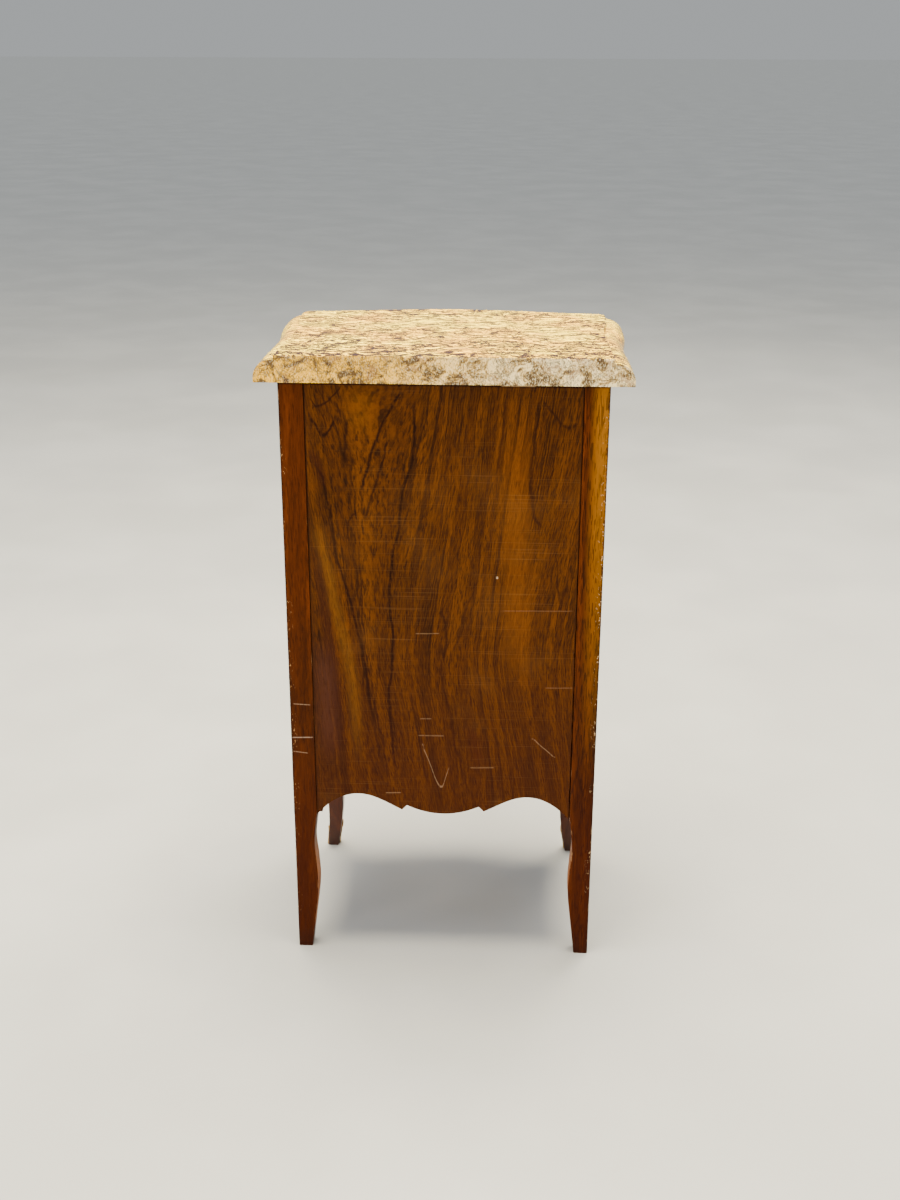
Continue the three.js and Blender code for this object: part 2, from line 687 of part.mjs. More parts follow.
// The drawer's floor, or the groove for it when grown by a gap
function drawerFloor(gap) {
  const half = BOX_INNER + FLOOR_GROOVE - SEAT_GAP + gap;
  const reach = FLOOR_GROOVE - SEAT_GAP + gap;
  const outline = [
    [half, BOX_REAR - gap],
    [half, SHOULDER_DEPTH + reach],
    ...frontInnerLine(reach, SHOULDER_DEPTH + reach),
    [-half, SHOULDER_DEPTH + reach],
    [-half, BOX_REAR - gap],
  ];
  return upright(outline, FLOOR_RAISE - gap, FLOOR_TOP + gap);
}

function drawerBack(gap) {
  const half = BOX_INNER + DADO - SEAT_GAP + gap;
  const rear = BOX_REAR + DRAWER_BACK_INSET;
  return block(
    [-half, rear - gap, FLOOR_TOP + SEAT_GAP - gap],
    [half, rear + DRAWER_BACK + gap, BOX_HEIGHT - DRAWER_BACK_DROP + (gap > 0 ? PAST : 0)]);
}

function drawerSide(side) {
  const low = [side * BOX_INNER, BOX_REAR, SEAT_GAP];
  const high = [side * BOX_HALF, SHOULDER_DEPTH, BOX_HEIGHT];
  const board = block(low, high);
  const whole = joined([board, ...dovetails(side, 0)]);
  return cutAway(whole, [drawerFloor(SEAT_GAP), drawerBack(SEAT_GAP)]);
}

function lockCase(gap) {
  const front = FRONT_CROWN - FRONT_THICKNESS + LOCK_LET_IN;
  const high = FRONT_TOP - LOCK_DROP;
  return block(
    [-LOCK_HALF_WIDTH - gap, front - LOCK_THICKNESS - gap, high - LOCK_HEIGHT - gap],
    [LOCK_HALF_WIDTH + gap, front + gap, high + gap]);
}

// A round hole with a slot below, cut from outside the drawer front into the lock
function keyhole() {
  const rear = FRONT_CROWN - FRONT_THICKNESS + LOCK_LET_IN - KEY_POCKET;
  const front = FRONT_CROWN + PAST;
  const height = FRONT_TOP - KEYHOLE_DROP;
  const round = new THREE.CylinderGeometry(KEYHOLE_RADIUS, KEYHOLE_RADIUS, front - rear, TUBE_SIDES)
    .translate(0, CASE_BACK_Y - (rear + front) / 2, height);
  const slot = block([-KEYHOLE_SLOT / 2, rear, height - KEYHOLE_LENGTH], [KEYHOLE_SLOT / 2, front, height]);
  return joined([round, slot]);
}

function drawerFront() {
  const lipDepth = SHOULDER_DEPTH + FRONT_THICKNESS - FRONT_LIP;
  const outline = [
    ...bowLine(-FRONT_HALF, FRONT_HALF, 0),
    [FRONT_HALF, lipDepth],
    [BOX_HALF, lipDepth],
    [BOX_HALF, SHOULDER_DEPTH],
    [BOX_INNER, SHOULDER_DEPTH],
    ...frontInnerLine(0, SHOULDER_DEPTH),
    [-BOX_INNER, SHOULDER_DEPTH],
    [-BOX_HALF, SHOULDER_DEPTH],
    [-BOX_HALF, lipDepth],
    [-FRONT_HALF, lipDepth],
  ];
  const board = upright(outline, DRAWER_GAP, FRONT_TOP);
  const sockets = [-1, 1].map((side) => dovetails(side, SEAT_GAP)).flat();
  return cutAway(board, [...sockets, drawerFloor(SEAT_GAP), lockCase(SEAT_GAP), keyhole()]);
}

// Gilt mounts: each is modelled with y outwards from its seat negative, then cut to the curved front

// The space behind the bowed front line, with a seat gap added
function behindFront() {
  const line = bowLine(-FRONT_HALF, FRONT_HALF, -SEAT_GAP);
  return upright([...line, [FRONT_HALF, 0], [-FRONT_HALF, 0]], -PAST, CASE_HEIGHT);
}

// An oval outline with soft lobes round its edge
function lobedOutline(halfWidth, halfHeight) {
  return steps(PLATE_LOBES * LOBE_POINTS).slice(1).map((share) => {
    const angle = share * Math.PI * 2;
    const reach = (1 + LOBE_DEEP * Math.cos(PLATE_LOBES * angle)) / (1 + LOBE_DEEP);
    return [halfWidth * reach * Math.cos(angle), halfHeight * reach * Math.sin(angle)];
  });
}

// A plate with a bevelled face, its outer face at minus the thickness and its back run into the seat
function plate(outline, thickness) {
  const geometry = new THREE.ExtrudeGeometry(shapeOf(outline), {
    depth: thickness + PLATE_SUNK - MOUNT_BEVEL,
    bevelEnabled: true,
    bevelThickness: MOUNT_BEVEL,
    bevelSize: MOUNT_BEVEL,
    bevelOffset: -MOUNT_BEVEL,
    bevelSegments: 1,
  });
  const turn = new THREE.Matrix4().makeBasis(
    new THREE.Vector3(1, 0, 0), new THREE.Vector3(0, 0, 1), new THREE.Vector3(0, -1, 0));
  return geometry.applyMatrix4(turn).translate(0, PLATE_SUNK, 0);
}

// Where a mount at x sits on the bowed front: its place and its turn about the upright
function seatOnFront(x, height) {
  const turn = Math.atan(-slopeOf(frontDepth, x));
  const matrix = new THREE.Matrix4().makeRotationZ(turn);
  matrix.setPosition(x, CASE_BACK_Y - frontDepth(x), height);
  return matrix;
}

function addSeated(parent, name, geometry, finish, seat) {
  const mesh = addPiece(parent, name, geometry, finish);
  seat.decompose(mesh.position, mesh.quaternion, mesh.scale);
  return mesh;
}

// Cuts a mount's back to the front it sits on, in the mount's own frame
function fitToFront(geometry, seat) {
  const keeper = behindFront().applyMatrix4(seat.clone().invert());
  return cutAway(geometry, [keeper]);
}

function backplate(seat) {
  const outline = lobedOutline(PLATE_HALF_WIDTH, PLATE_HALF_HEIGHT)
    .map(([x, up]) => [x, up - PLATE_DROP]);
  const posts = [-1, 1].map((side) => {
    const stem = new THREE.CylinderGeometry(POST_RADIUS, POST_RADIUS, PIVOT_OUT, TUBE_SIDES)
      .translate(side * POST_OFFSET, -PIVOT_OUT / 2, 0);
    const ball = new THREE.SphereGeometry(POST_BALL, TUBE_SIDES, BALL_RINGS)
      .translate(side * POST_OFFSET, -PIVOT_OUT, 0);
    return [stem, ball];
  });
  const plain = joined([plate(outline, PLATE_THICKNESS), ...posts.flat()]);
  const bore = (BAIL_RADIUS + PIN_PLAY) / Math.cos(Math.PI / TUBE_SIDES);
  const hole = new THREE.CylinderGeometry(bore, bore, PLATE_HALF_WIDTH * 2, TUBE_SIDES)
    .rotateZ(Math.PI / 2)
    .translate(0, -PIVOT_OUT, 0);
  return fitToFront(cutAway(plain, [hole]), seat);
}

// The bail's drooping line, from one upper corner down and up to the other
class BailLine extends THREE.Curve {
  getPoint(share, target = new THREE.Vector3()) {
    const angle = Math.PI * share;
    const drop = BAIL_DROP * Math.sin(angle) ** BAIL_SQUARENESS;
    return target.set(-BAIL_HALF_WIDTH * Math.cos(angle), 0, -drop);
  }
}

function bail() {
  const section = steps(TUBE_SIDES).slice(1).map((share) => {
    const angle = share * Math.PI * 2;
    return [BAIL_RADIUS * Math.cos(angle), BAIL_RADIUS * Math.sin(angle)];
  });
  const bow = new THREE.ExtrudeGeometry(shapeOf(section), {
    steps: BAIL_STEPS,
    bevelEnabled: false,
    extrudePath: new BailLine(),
  });
  const knob = new THREE.SphereGeometry(BAIL_KNOB, TUBE_SIDES, BALL_RINGS).translate(0, 0, -BAIL_DROP);
  const ends = [-1, 1].map((side) => {
    const length = BAIL_HALF_WIDTH - PIN_INNER;
    const pin = new THREE.CylinderGeometry(BAIL_RADIUS, BAIL_RADIUS, length, TUBE_SIDES)
      .rotateZ(Math.PI / 2)
      .translate(side * (BAIL_HALF_WIDTH + PIN_INNER) / 2, 0, 0);
    const knuckle = new THREE.SphereGeometry(BAIL_KNUCKLE, TUBE_SIDES, BALL_RINGS)
      .translate(side * BAIL_HALF_WIDTH, 0, 0);
    return [pin, knuckle];
  });
  return joined([bow, knob, ...ends.flat()]).translate(0, -PIVOT_OUT, 0);
}

function escutcheon(seat) {
  const outline = lobedOutline(ESCUTCHEON_HALF_WIDTH, ESCUTCHEON_HALF_HEIGHT);
  const hole = keyhole().applyMatrix4(seat.clone().invert());
  return cutAway(fitToFront(plate(outline, PLATE_THICKNESS), seat), [hole]);
}

function addHandle(drawer, name, side) {
  const seat = seatOnFront(side * HANDLE_OFFSET, OPENING_HEIGHT / 2 + HANDLE_RISE);
  addSeated(drawer, `${name}_backplate`, backplate(seat), 'gilt', seat);
  addSeated(drawer, `${name}_bail`, bail(), 'gilt', seat);
}

function addDrawer(level, index) {
  const drawer = new THREE.Group();
  drawer.position.z = APRON_TOP + LEVEL_PITCH * index;
  const name = `${level}_drawer`;
  addPiece(drawer, `${name}_front`, drawerFront(), 'veneer');
  addPiece(drawer, `${name}_left_side`, drawerSide(-1), 'oak');
  addPiece(drawer, `${name}_right_side`, drawerSide(1), 'oak');
  addPiece(drawer, `${name}_back`, drawerBack(0), 'oak');
  addPiece(drawer, `${name}_bottom`, drawerFloor(0), 'oak');
  addPiece(drawer, `${name}_lock`, cutAway(lockCase(0), [keyhole()]), 'iron');
  const keySeat = seatOnFront(0, FRONT_TOP - KEYHOLE_DROP);
  addSeated(drawer, `${name}_escutcheon`, escutcheon(keySeat), 'gilt', keySeat);
  addHandle(drawer, `${name}_left`, -1);
  addHandle(drawer, `${name}_right`, 1);
  chest.add(drawer);
}

// A long drop with a scrolled head, on the canted face of a front post
function chuteOutline() {
  const half = steps(CHUTE_STEPS).map((share) => {
    const body = CHUTE_HALF_WIDTH * (1 - share) ** CHUTE_TAPER;
    const leaf = 1 - CHUTE_LEAF_DEEP * Math.cos(share * CHUTE_LEAVES * Math.PI * 2);
    return [Math.max(body * leaf / (1 + CHUTE_LEAF_DEEP), CHUTE_TIP), -CHUTE_LENGTH * share];
  });
  return [...half, ...mirrored(half.slice().reverse(), -1)];
}

function addChute(name, side) {
  const middle = cantMiddle();
  const clearance = SEAT_GAP * 2;
  const seat = new THREE.Matrix4().makeRotationZ(side * Math.atan2(CANT_DEPTH, CANT_WIDTH));
  seat.setPosition(side * middle[0], CASE_BACK_Y - middle[1], CASE_HEIGHT - CHUTE_DROP);
  const grown = frontPostOutline().map(([x, depth]) => [
    x + (x > CANT_FRONT ? clearance : 0),
    depth + (x < LOBE_HALF_WIDTH ? clearance : 0),
  ]);
  const toSeat = seat.clone().invert();
  const keeper = upright(mirrored(grown, side), LEG_HEIGHT, CASE_HEIGHT).applyMatrix4(toSeat);
  addSeated(chest, name, cutAway(plate(chuteOutline(), CHUTE_THICKNESS), [keeper]), 'gilt', seat);
}

// A fan shell at the middle of the apron
function shellOutline() {
  const fanHeight = APRON_MOUNT_HEIGHT * SHELL_FAN;
  const fan = steps(SHELL_RIBS * SHELL_RIB_POINTS).map((share) => {
    const angle = Math.PI * (share * (1 + SHELL_SWEEP * 2) - SHELL_SWEEP);
    const reach = 1 - SHELL_RIB_DEEP * Math.abs(Math.sin(share * Math.PI * SHELL_RIBS));
    return [APRON_MOUNT_HALF_WIDTH * reach * Math.cos(angle), fanHeight * reach * Math.sin(angle)];
  });
  return [...fan, [0, fanHeight - APRON_MOUNT_HEIGHT]];
}

function addApronMount() {
  const seat = seatOnFront(0, APRON_TOP - APRON_MOUNT_DROP - APRON_MOUNT_HEIGHT * SHELL_FAN);
  const geometry = fitToFront(plate(shellOutline(), APRON_MOUNT_THICKNESS), seat);
  addSeated(chest, 'apron_mount', geometry, 'gilt', seat);
}

// A ring moved outwards along its edges' normals
function grownRing(ring, amount) {
  const points = ring.map(([x, depth]) => new THREE.Vector2(x, depth));
  const turn = THREE.ShapeUtils.isClockWise(points) ? 1 : -1;
  return points.map((point, i) => {
    const before = points[(i + points.length - 1) % points.length];
    const after = points[(i + 1) % points.length];
    const inward = point.clone().sub(before).normalize();
    const onward = after.clone().sub(point).normalize();
    const normal = new THREE.Vector2(-(inward.y + onward.y), inward.x + onward.x).normalize();
    const edgeNormal = new THREE.Vector2(-inward.y, inward.x);
    const reach = turn * amount / normal.dot(edgeNormal);
    return [point.x + normal.x * reach, point.y + normal.y * reach];
  });
}

// A leafy cast shoe round the front and outer faces of a front foot
function sabot(side) {
  const rows = smoothLine(frontLegRows()).filter(({ height }) => height < SABOT_HEIGHT + PAST);
  const shell = (amount, drop) => loft(rows.map(({ height, values }, i) => ({
    height: i === 0 ? height - drop : height,
    ring: mirrored(grownRing(frontLegRing(values), amount), side),
  })));
  const corner = legPoint(cantMiddle(), frontLegRows()[0].slice(1));
  const half = [
    [SABOT_WING * SABOT_NOTCH, SABOT_CUFF + SABOT_TIP_STEP],
    [SABOT_WING * SABOT_TIP, SABOT_CUFF + SABOT_TIP_STEP * 2],
    [SABOT_WING, SABOT_CUFF - SABOT_TIP_STEP],
    [PAST, 0],
    [PAST, CASE_HEIGHT],
  ];
  const tipLine = [[0, SABOT_HEIGHT], ...half, ...mirrored(half.slice().reverse(), -1)];
  const turn = new THREE.Matrix4().makeRotationZ(side * Math.PI / 4);
  turn.setPosition(side * corner[0], CASE_BACK_Y - corner[1], 0);
  const basis = new THREE.Matrix4().makeBasis(
    new THREE.Vector3(1, 0, 0), new THREE.Vector3(0, 0, 1), new THREE.Vector3(0, -1, 0));
  const above = slab(tipLine, PAST * 2).applyMatrix4(basis).translate(0, PAST, 0).applyMatrix4(turn);
  const rearward = new THREE.BoxGeometry(PAST * 2, PAST, CASE_HEIGHT)
    .translate(0, PAST / 2 + SABOT_RETURN, 0)
    .applyMatrix4(turn);
  return cutAway(shell(SABOT_WALL, 0), [shell(SEAT_GAP, SEAT_GAP), above, rearward]);
}

// The whole chest

addPiece(chest, 'marble_top', marbleTop(), 'marble');
for (const [label, side] of [['left', -1], ['right', 1]]) {
  addPiece(chest, `rear_${label}_leg`, rearLeg(side), 'post');
  addPiece(chest, `front_${label}_leg`, frontLeg(side), 'post');
  addPiece(chest, `${label}_side_panel`, sidePanel(side), 'walnut');
  DRAWER_LEVELS.forEach((level, index) => {
    const base = APRON_TOP + LEVEL_PITCH * index;
    addPiece(chest, `${level}_${label}_runner`, runner(side, base), 'beech');
  });
  addChute(`${label}_corner_mount`, side);
  addPiece(chest, `${label}_sabot`, sabot(side), 'gilt');
}
addPiece(chest, 'back_panel', backPanel(), 'walnut');
addPiece(chest, 'front_apron', frontApron(), 'veneer');
const RAIL_NAMES = ['lower_drawer_rail', 'upper_drawer_rail', 'top_front_rail'];
railLevels().slice(1).forEach((level, i) => addPiece(chest, RAIL_NAMES[i], frontRail(level), 'veneer'));
addPiece(chest, 'top_rear_rail', rearRail(0), 'beech');
addPiece(chest, 'bottom_board', bottomBoard(), 'beech');
addApronMount();
DRAWER_LEVELS.forEach((level, index) => addDrawer(level, index));

export default chest;
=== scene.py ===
"""Looks of a small chest of three drawers with a bowed front, cabriole legs, gilt mounts and a marble top.

The chest is seen from behind, as in the photograph. Metres, +Z up, the drawers face -Y and left is -X.
Depths are counted forwards from the back plane of the case, as in the solids.
"""

import logging
import math
from dataclasses import dataclass, field
from enum import Enum
from functools import reduce

import bmesh
import bpy
import numpy as np
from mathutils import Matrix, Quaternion, Vector


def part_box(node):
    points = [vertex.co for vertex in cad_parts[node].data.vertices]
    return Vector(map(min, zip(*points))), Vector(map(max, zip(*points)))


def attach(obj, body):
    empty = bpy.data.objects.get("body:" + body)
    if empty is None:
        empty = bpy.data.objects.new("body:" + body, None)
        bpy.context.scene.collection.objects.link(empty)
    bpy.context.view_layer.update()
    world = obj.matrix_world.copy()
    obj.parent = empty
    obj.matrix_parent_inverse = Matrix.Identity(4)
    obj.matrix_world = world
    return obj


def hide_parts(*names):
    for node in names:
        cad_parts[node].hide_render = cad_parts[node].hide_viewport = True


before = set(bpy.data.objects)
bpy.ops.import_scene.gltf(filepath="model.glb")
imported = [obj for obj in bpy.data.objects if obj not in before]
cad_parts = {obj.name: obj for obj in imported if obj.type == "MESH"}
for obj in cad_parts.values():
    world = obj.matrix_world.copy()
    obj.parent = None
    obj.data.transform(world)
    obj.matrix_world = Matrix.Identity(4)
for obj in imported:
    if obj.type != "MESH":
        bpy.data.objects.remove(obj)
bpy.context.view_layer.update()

LOG = logging.getLogger("chest")
MM = 0.001
DARK_LINE_AND_SHADE = "#1a0700"
VIEWPORT_GREY = "#888888"
SIDES = {"left": -1.0, "right": 1.0}
LEVELS = ("bottom", "middle", "top")
SMOOTH_ANGLE = math.radians(38)
FLAT_ANGLE = math.radians(0.25)
JOIN_REACH = 0.001 * MM

Array = np.ndarray
Socket = bpy.types.NodeSocket
Material = bpy.types.Material
Thing = bpy.types.Object
Value = Socket | float | str | tuple | None


# Numbers and curves


def linear(hex_colour: str) -> tuple[float, float, float, float]:
    """Turns an sRGB hex colour into linear light.

    Args:
        hex_colour: "#rrggbb".

    Returns:
        Red, green, blue and an alpha of one.
    """
    srgb = [int(hex_colour[i : i + 2], 16) / 255 for i in (1, 3, 5)]
    light = [c / 12.92 if c <= 0.04045 else ((c + 0.055) / 1.055) ** 2.4 for c in srgb]
    return (light[0], light[1], light[2], 1.0)


def joined(*parts: Array) -> Array:
    """Joins coordinates, each spread to the shape that all share, as an array's last axis."""
    return np.stack(np.broadcast_arrays(*parts), axis=-1)


def ease(share: Array) -> Array:
    """Rises from 0 to 1 as half a cosine wave."""
    return (1 - np.cos(np.pi * share)) / 2


def bump(x: Array, centre: float, width: float) -> Array:
    """A bell of height one: exp(-((x - centre) / width)^2)."""
    return np.exp(-(((x - centre) / width) ** 2))


def ramp(x: Array, start: float, end: float) -> Array:
    """Rises smoothly from 0 at start to 1 at end."""
    t = np.clip((x - start) / (end - start), 0, 1)
    return t * t * (3 - 2 * t)


def ripple(x: Array, pitch: float, seed: int) -> Array:
    """Smooth random numbers from -1 to 1 along a line: random values each pitch, joined by cubic steps.

    Args:
        x: places along the line.
        pitch: distance between the random values.
        seed: which random values.

    Returns:
        One number for each place.
    """
    place = (np.asarray(x) - np.min(x)) / pitch
    values = np.random.default_rng(seed).uniform(-1, 1, int(place.max()) + 3)
    low = place.astype(int)
    share = ramp(place - low, 0, 1)
    return values[low] * (1 - share) + values[low + 1] * share


def smooth_rows(rows: Array, count: int) -> Array:
    """Reads rows as one uniform Catmull-Rom curve.

    Between rows b and c, with a before and d after, the curve is the cubic through b and c whose
    slopes there are (c - a) / 2 and (d - b) / 2; the ends are carried on in a straight line.

    Args:
        rows: one row for each point the curve passes.
        count: how many rows to return.

    Returns:
        The evenly spaced rows of the curve.
    """
    padded = np.vstack([2 * rows[0] - rows[1], rows, 2 * rows[-1] - rows[-2]])
    place = np.linspace(0, len(rows) - 1, count)
    first = np.minimum(place.astype(int), len(rows) - 2)
    t = (place - first)[:, None]
    a, b, c, d = (padded[first + i] for i in range(4))
    slope_b, slope_c = (c - a) / 2, (d - b) / 2
    cubic = (2 * t**3 - 3 * t**2 + 1) * b + (t**3 - 2 * t**2 + t) * slope_b
    return cubic + (3 * t**2 - 2 * t**3) * c + (t**3 - t**2) * slope_c


def bezier(points: Array, count: int) -> Array:
    """A quadratic or cubic Bezier curve through its first and last point.

    Args:
        points: three or four control points.
        count: how many points to return.

    Returns:
        Points of the curve: the sum of each control point times its Bernstein polynomial.
    """
    t = np.linspace(0, 1, count)[:, None]
    order = len(points) - 1
    weights = [math.comb(order, i) * t**i * (1 - t) ** (order - i) for i in range(order + 1)]
    return sum(weight * point for weight, point in zip(weights, np.asarray(points)))


def rounded(corners: Array, radius: float | Array, steps: int = 3, between: int = 0) -> tuple[Array, Array]:
    """Rounds the corners of closed loops.

    Each corner c becomes the curve (1-t)^2 p + 2t(1-t) c + t^2 q, where p and q lie one radius from c
    towards its two neighbours.

    Args:
        corners: loops by corners by coordinates.
        radius: one radius, or one for each corner.
        steps: how many steps each rounding has.
        between: how many points to add along each straight side.

    Returns:
        The rounded loops, and for each point how near it is to the middle of an arris, from 0 to 1.
    """
    before = np.roll(corners, 1, axis=1) - corners
    after = np.roll(corners, -1, axis=1) - corners
    size = np.broadcast_to(radius, corners.shape[:2])[..., None]
    reach_before = np.linalg.norm(before, axis=2, keepdims=True)
    reach_after = np.linalg.norm(after, axis=2, keepdims=True)
    size = np.minimum(size, np.minimum(reach_before, reach_after) * 0.48)
    start = (corners + before / reach_before * size)[:, :, None]
    end = (corners + after / reach_after * size)[:, :, None]
    t = np.linspace(0, 1, steps + 1)[None, None, :, None]
    arc = (1 - t) ** 2 * start + 2 * t * (1 - t) * corners[:, :, None] + t**2 * end
    onward = np.roll(start, -1, axis=1)
    share = (np.arange(1, between + 1) / (between + 1))[None, None, :, None]
    straight = end * (1 - share) + onward * share
    loops = np.concatenate([arc, straight], axis=2)
    near = np.concatenate([4 * t * (1 - t), np.zeros_like(share)], axis=2)
    near = np.broadcast_to(near, (*loops.shape[:3], 1))
    return loops.reshape(len(corners), -1, corners.shape[2]), near.reshape(len(corners), -1)


def turned(points: Array, angle: float) -> Array:
    """Turns points about the upright through the origin."""
    c, s = math.cos(angle), math.sin(angle)
    return points @ np.array([[c, s, 0], [-s, c, 0], [0, 0, 1]])


def outwards(local: Array, angle: float) -> Array:
    """Turns points given across, outwards and up so that outwards faces the front at an angle."""
    return turned(local * np.array([1, -1, 1]), angle)


# Skins and objects


@dataclass
class Skin:
    """One closed skin: its points, its faces and the values each point carries to the materials."""

    points: Array
    faces: list
    values: dict = field(default_factory=dict)
    finish: int = 0


def loft(rings: Array, values: dict | None = None, ring_shaped: bool = False, finish: int = 0) -> Skin:
    """Skins successive rings: point i of a ring joins point i + 1 and the same two of the next ring.

    Args:
        rings: rings by points by coordinates.
        values: arrays of rings by points, carried to the materials.
        ring_shaped: True joins the last ring to the first; otherwise each end is capped.
        finish: which of the object's materials the skin wears.

    Returns:
        The skin.
    """
    count, around = rings.shape[:2]
    level = np.arange(count if ring_shaped else count - 1)[:, None] * around
    i = np.arange(around)[None, :]
    j = (i + 1) % around
    above = (level + around) % (count * around)
    quads = joined(level + i, level + j, above + j, above + i).reshape(-1, 4).tolist()
    if not ring_shaped:
        quads += [list(range(around))[::-1], list(range((count - 1) * around, count * around))]
    carried = {name: v.reshape(count * around, -1) for name, v in (values or {}).items()}
    return Skin(rings.reshape(-1, 3), quads, carried, finish)


def shown(name: str, data: bpy.types.ID) -> Thing:
    """Links an object to the scene.

    Args:
        name: its name.
        data: its mesh, lamp or camera.

    Returns:
        The object, at the origin.
    """
    made = bpy.data.objects.new(name, data)
    bpy.context.scene.collection.objects.link(made)
    return made


def shaded(name: str, mesh: bpy.types.Mesh, arris: float = 0.0) -> Thing:
    """Turns a mesh's faces outwards and shades it smooth but for its sharp edges.

    Args:
        name: the object's name.
        mesh: its mesh.
        arris: for a copy of a solid, which is joined up first, the width of its softened edges.

    Returns:
        The linked object.
    """
    shell = bmesh.new()
    shell.from_mesh(mesh)
    if arris:
        bmesh.ops.remove_doubles(shell, verts=shell.verts, dist=JOIN_REACH)
        bmesh.ops.dissolve_limit(shell, angle_limit=FLAT_ANGLE, verts=shell.verts, edges=shell.edges)
    bmesh.ops.recalc_face_normals(shell, faces=shell.faces)
    shell.to_mesh(mesh)
    shell.free()
    mesh.polygons.foreach_set("use_smooth", np.ones(len(mesh.polygons), bool))
    mesh.set_sharp_from_angle(angle=SMOOTH_ANGLE)
    made = shown(name, mesh)
    if arris:
        soft = made.modifiers.new("softened_arrises", "BEVEL")
        soft.width, soft.segments = arris, 2
        soft.limit_method, soft.angle_limit = "ANGLE", SMOOTH_ANGLE
    made.modifiers.new("even_shading", "WEIGHTED_NORMAL").keep_sharp = True
    return made


def skinned(name: str, skins: list[Skin], *materials: Material) -> Thing:
    """Puts skins into one mesh object at the origin.

    Args:
        name: the object's name.
        skins: its closed skins.
        materials: its materials, in the order that the skins count them.

    Returns:
        The linked object.
    """
    starts = np.cumsum([0, *(len(s.points) for s in skins)])
    faces = [[i + int(start) for i in face] for s, start in zip(skins, starts) for face in s.faces]
    mesh = bpy.data.meshes.new(name)
    mesh.from_pydata(np.vstack([s.points for s in skins]).tolist(), [], faces)
    for key in sorted({key for s in skins for key in s.values}):
        width = max(s.values[key].shape[1] for s in skins if key in s.values)
        parts = [s.values.get(key, np.zeros((len(s.points), width))) for s in skins]
        kind, slot = ("FLOAT_VECTOR", "vector") if width == 3 else ("FLOAT", "value")
        layer = mesh.attributes.new(key, kind, "POINT")
        layer.data.foreach_set(slot, np.vstack(parts).astype(np.float32).ravel())
    for material in materials:
        mesh.materials.append(material)
    finishes = np.concatenate([np.full(len(s.faces), s.finish, np.int32) for s in skins])
    mesh.polygons.foreach_set("material_index", finishes)
    return shaded(name, mesh)


def place(made: Thing, node: str, slot: str, body: str = "case") -> None:
    """Lets an object stand for a CAD node and ride with its body.

    Args:
        made: the object.
        node: the node it stands for.
        slot: the record's material slot; not used.
        body: the body it rides on.
    """
    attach(made, body)
    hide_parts(node)
    LOG.info("%s stands for %s: %d faces", made.name, node, len(made.data.polygons))


def place_copy(material: Material, arris: float, node: str, slot: str, body: str = "case") -> None:
    """Lets a copy of a node's own mesh, its flat faces joined and its arrises softened, stand for it.

    Args:
        material: the finish of the copy.
        arris: width of the softened edges.
        node: the node.
        slot: the record's material slot; not used.
        body: the body it rides on.
    """
    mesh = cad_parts[node].data.copy()
    mesh.materials.clear()
    mesh.materials.append(material)
    place(shaded(f"{node}_dressed", mesh, arris), node, slot, body)


# Materials

# How nodes are set unless told otherwise: colours are mixed, ranges are eased at both ends, and numbers
# and vectors are multiplied
USUAL = {
    "Mix": {"data_type": "RGBA"},
    "MapRange": {"interpolation_type": "SMOOTHSTEP"},
    "Math": {"operation": "MULTIPLY"},
    "VectorMath": {"operation": "MULTIPLY"},
}
# A number that varies: a socket, a plain number, or a socket and the range that it is read over
Part = Socket | float | tuple


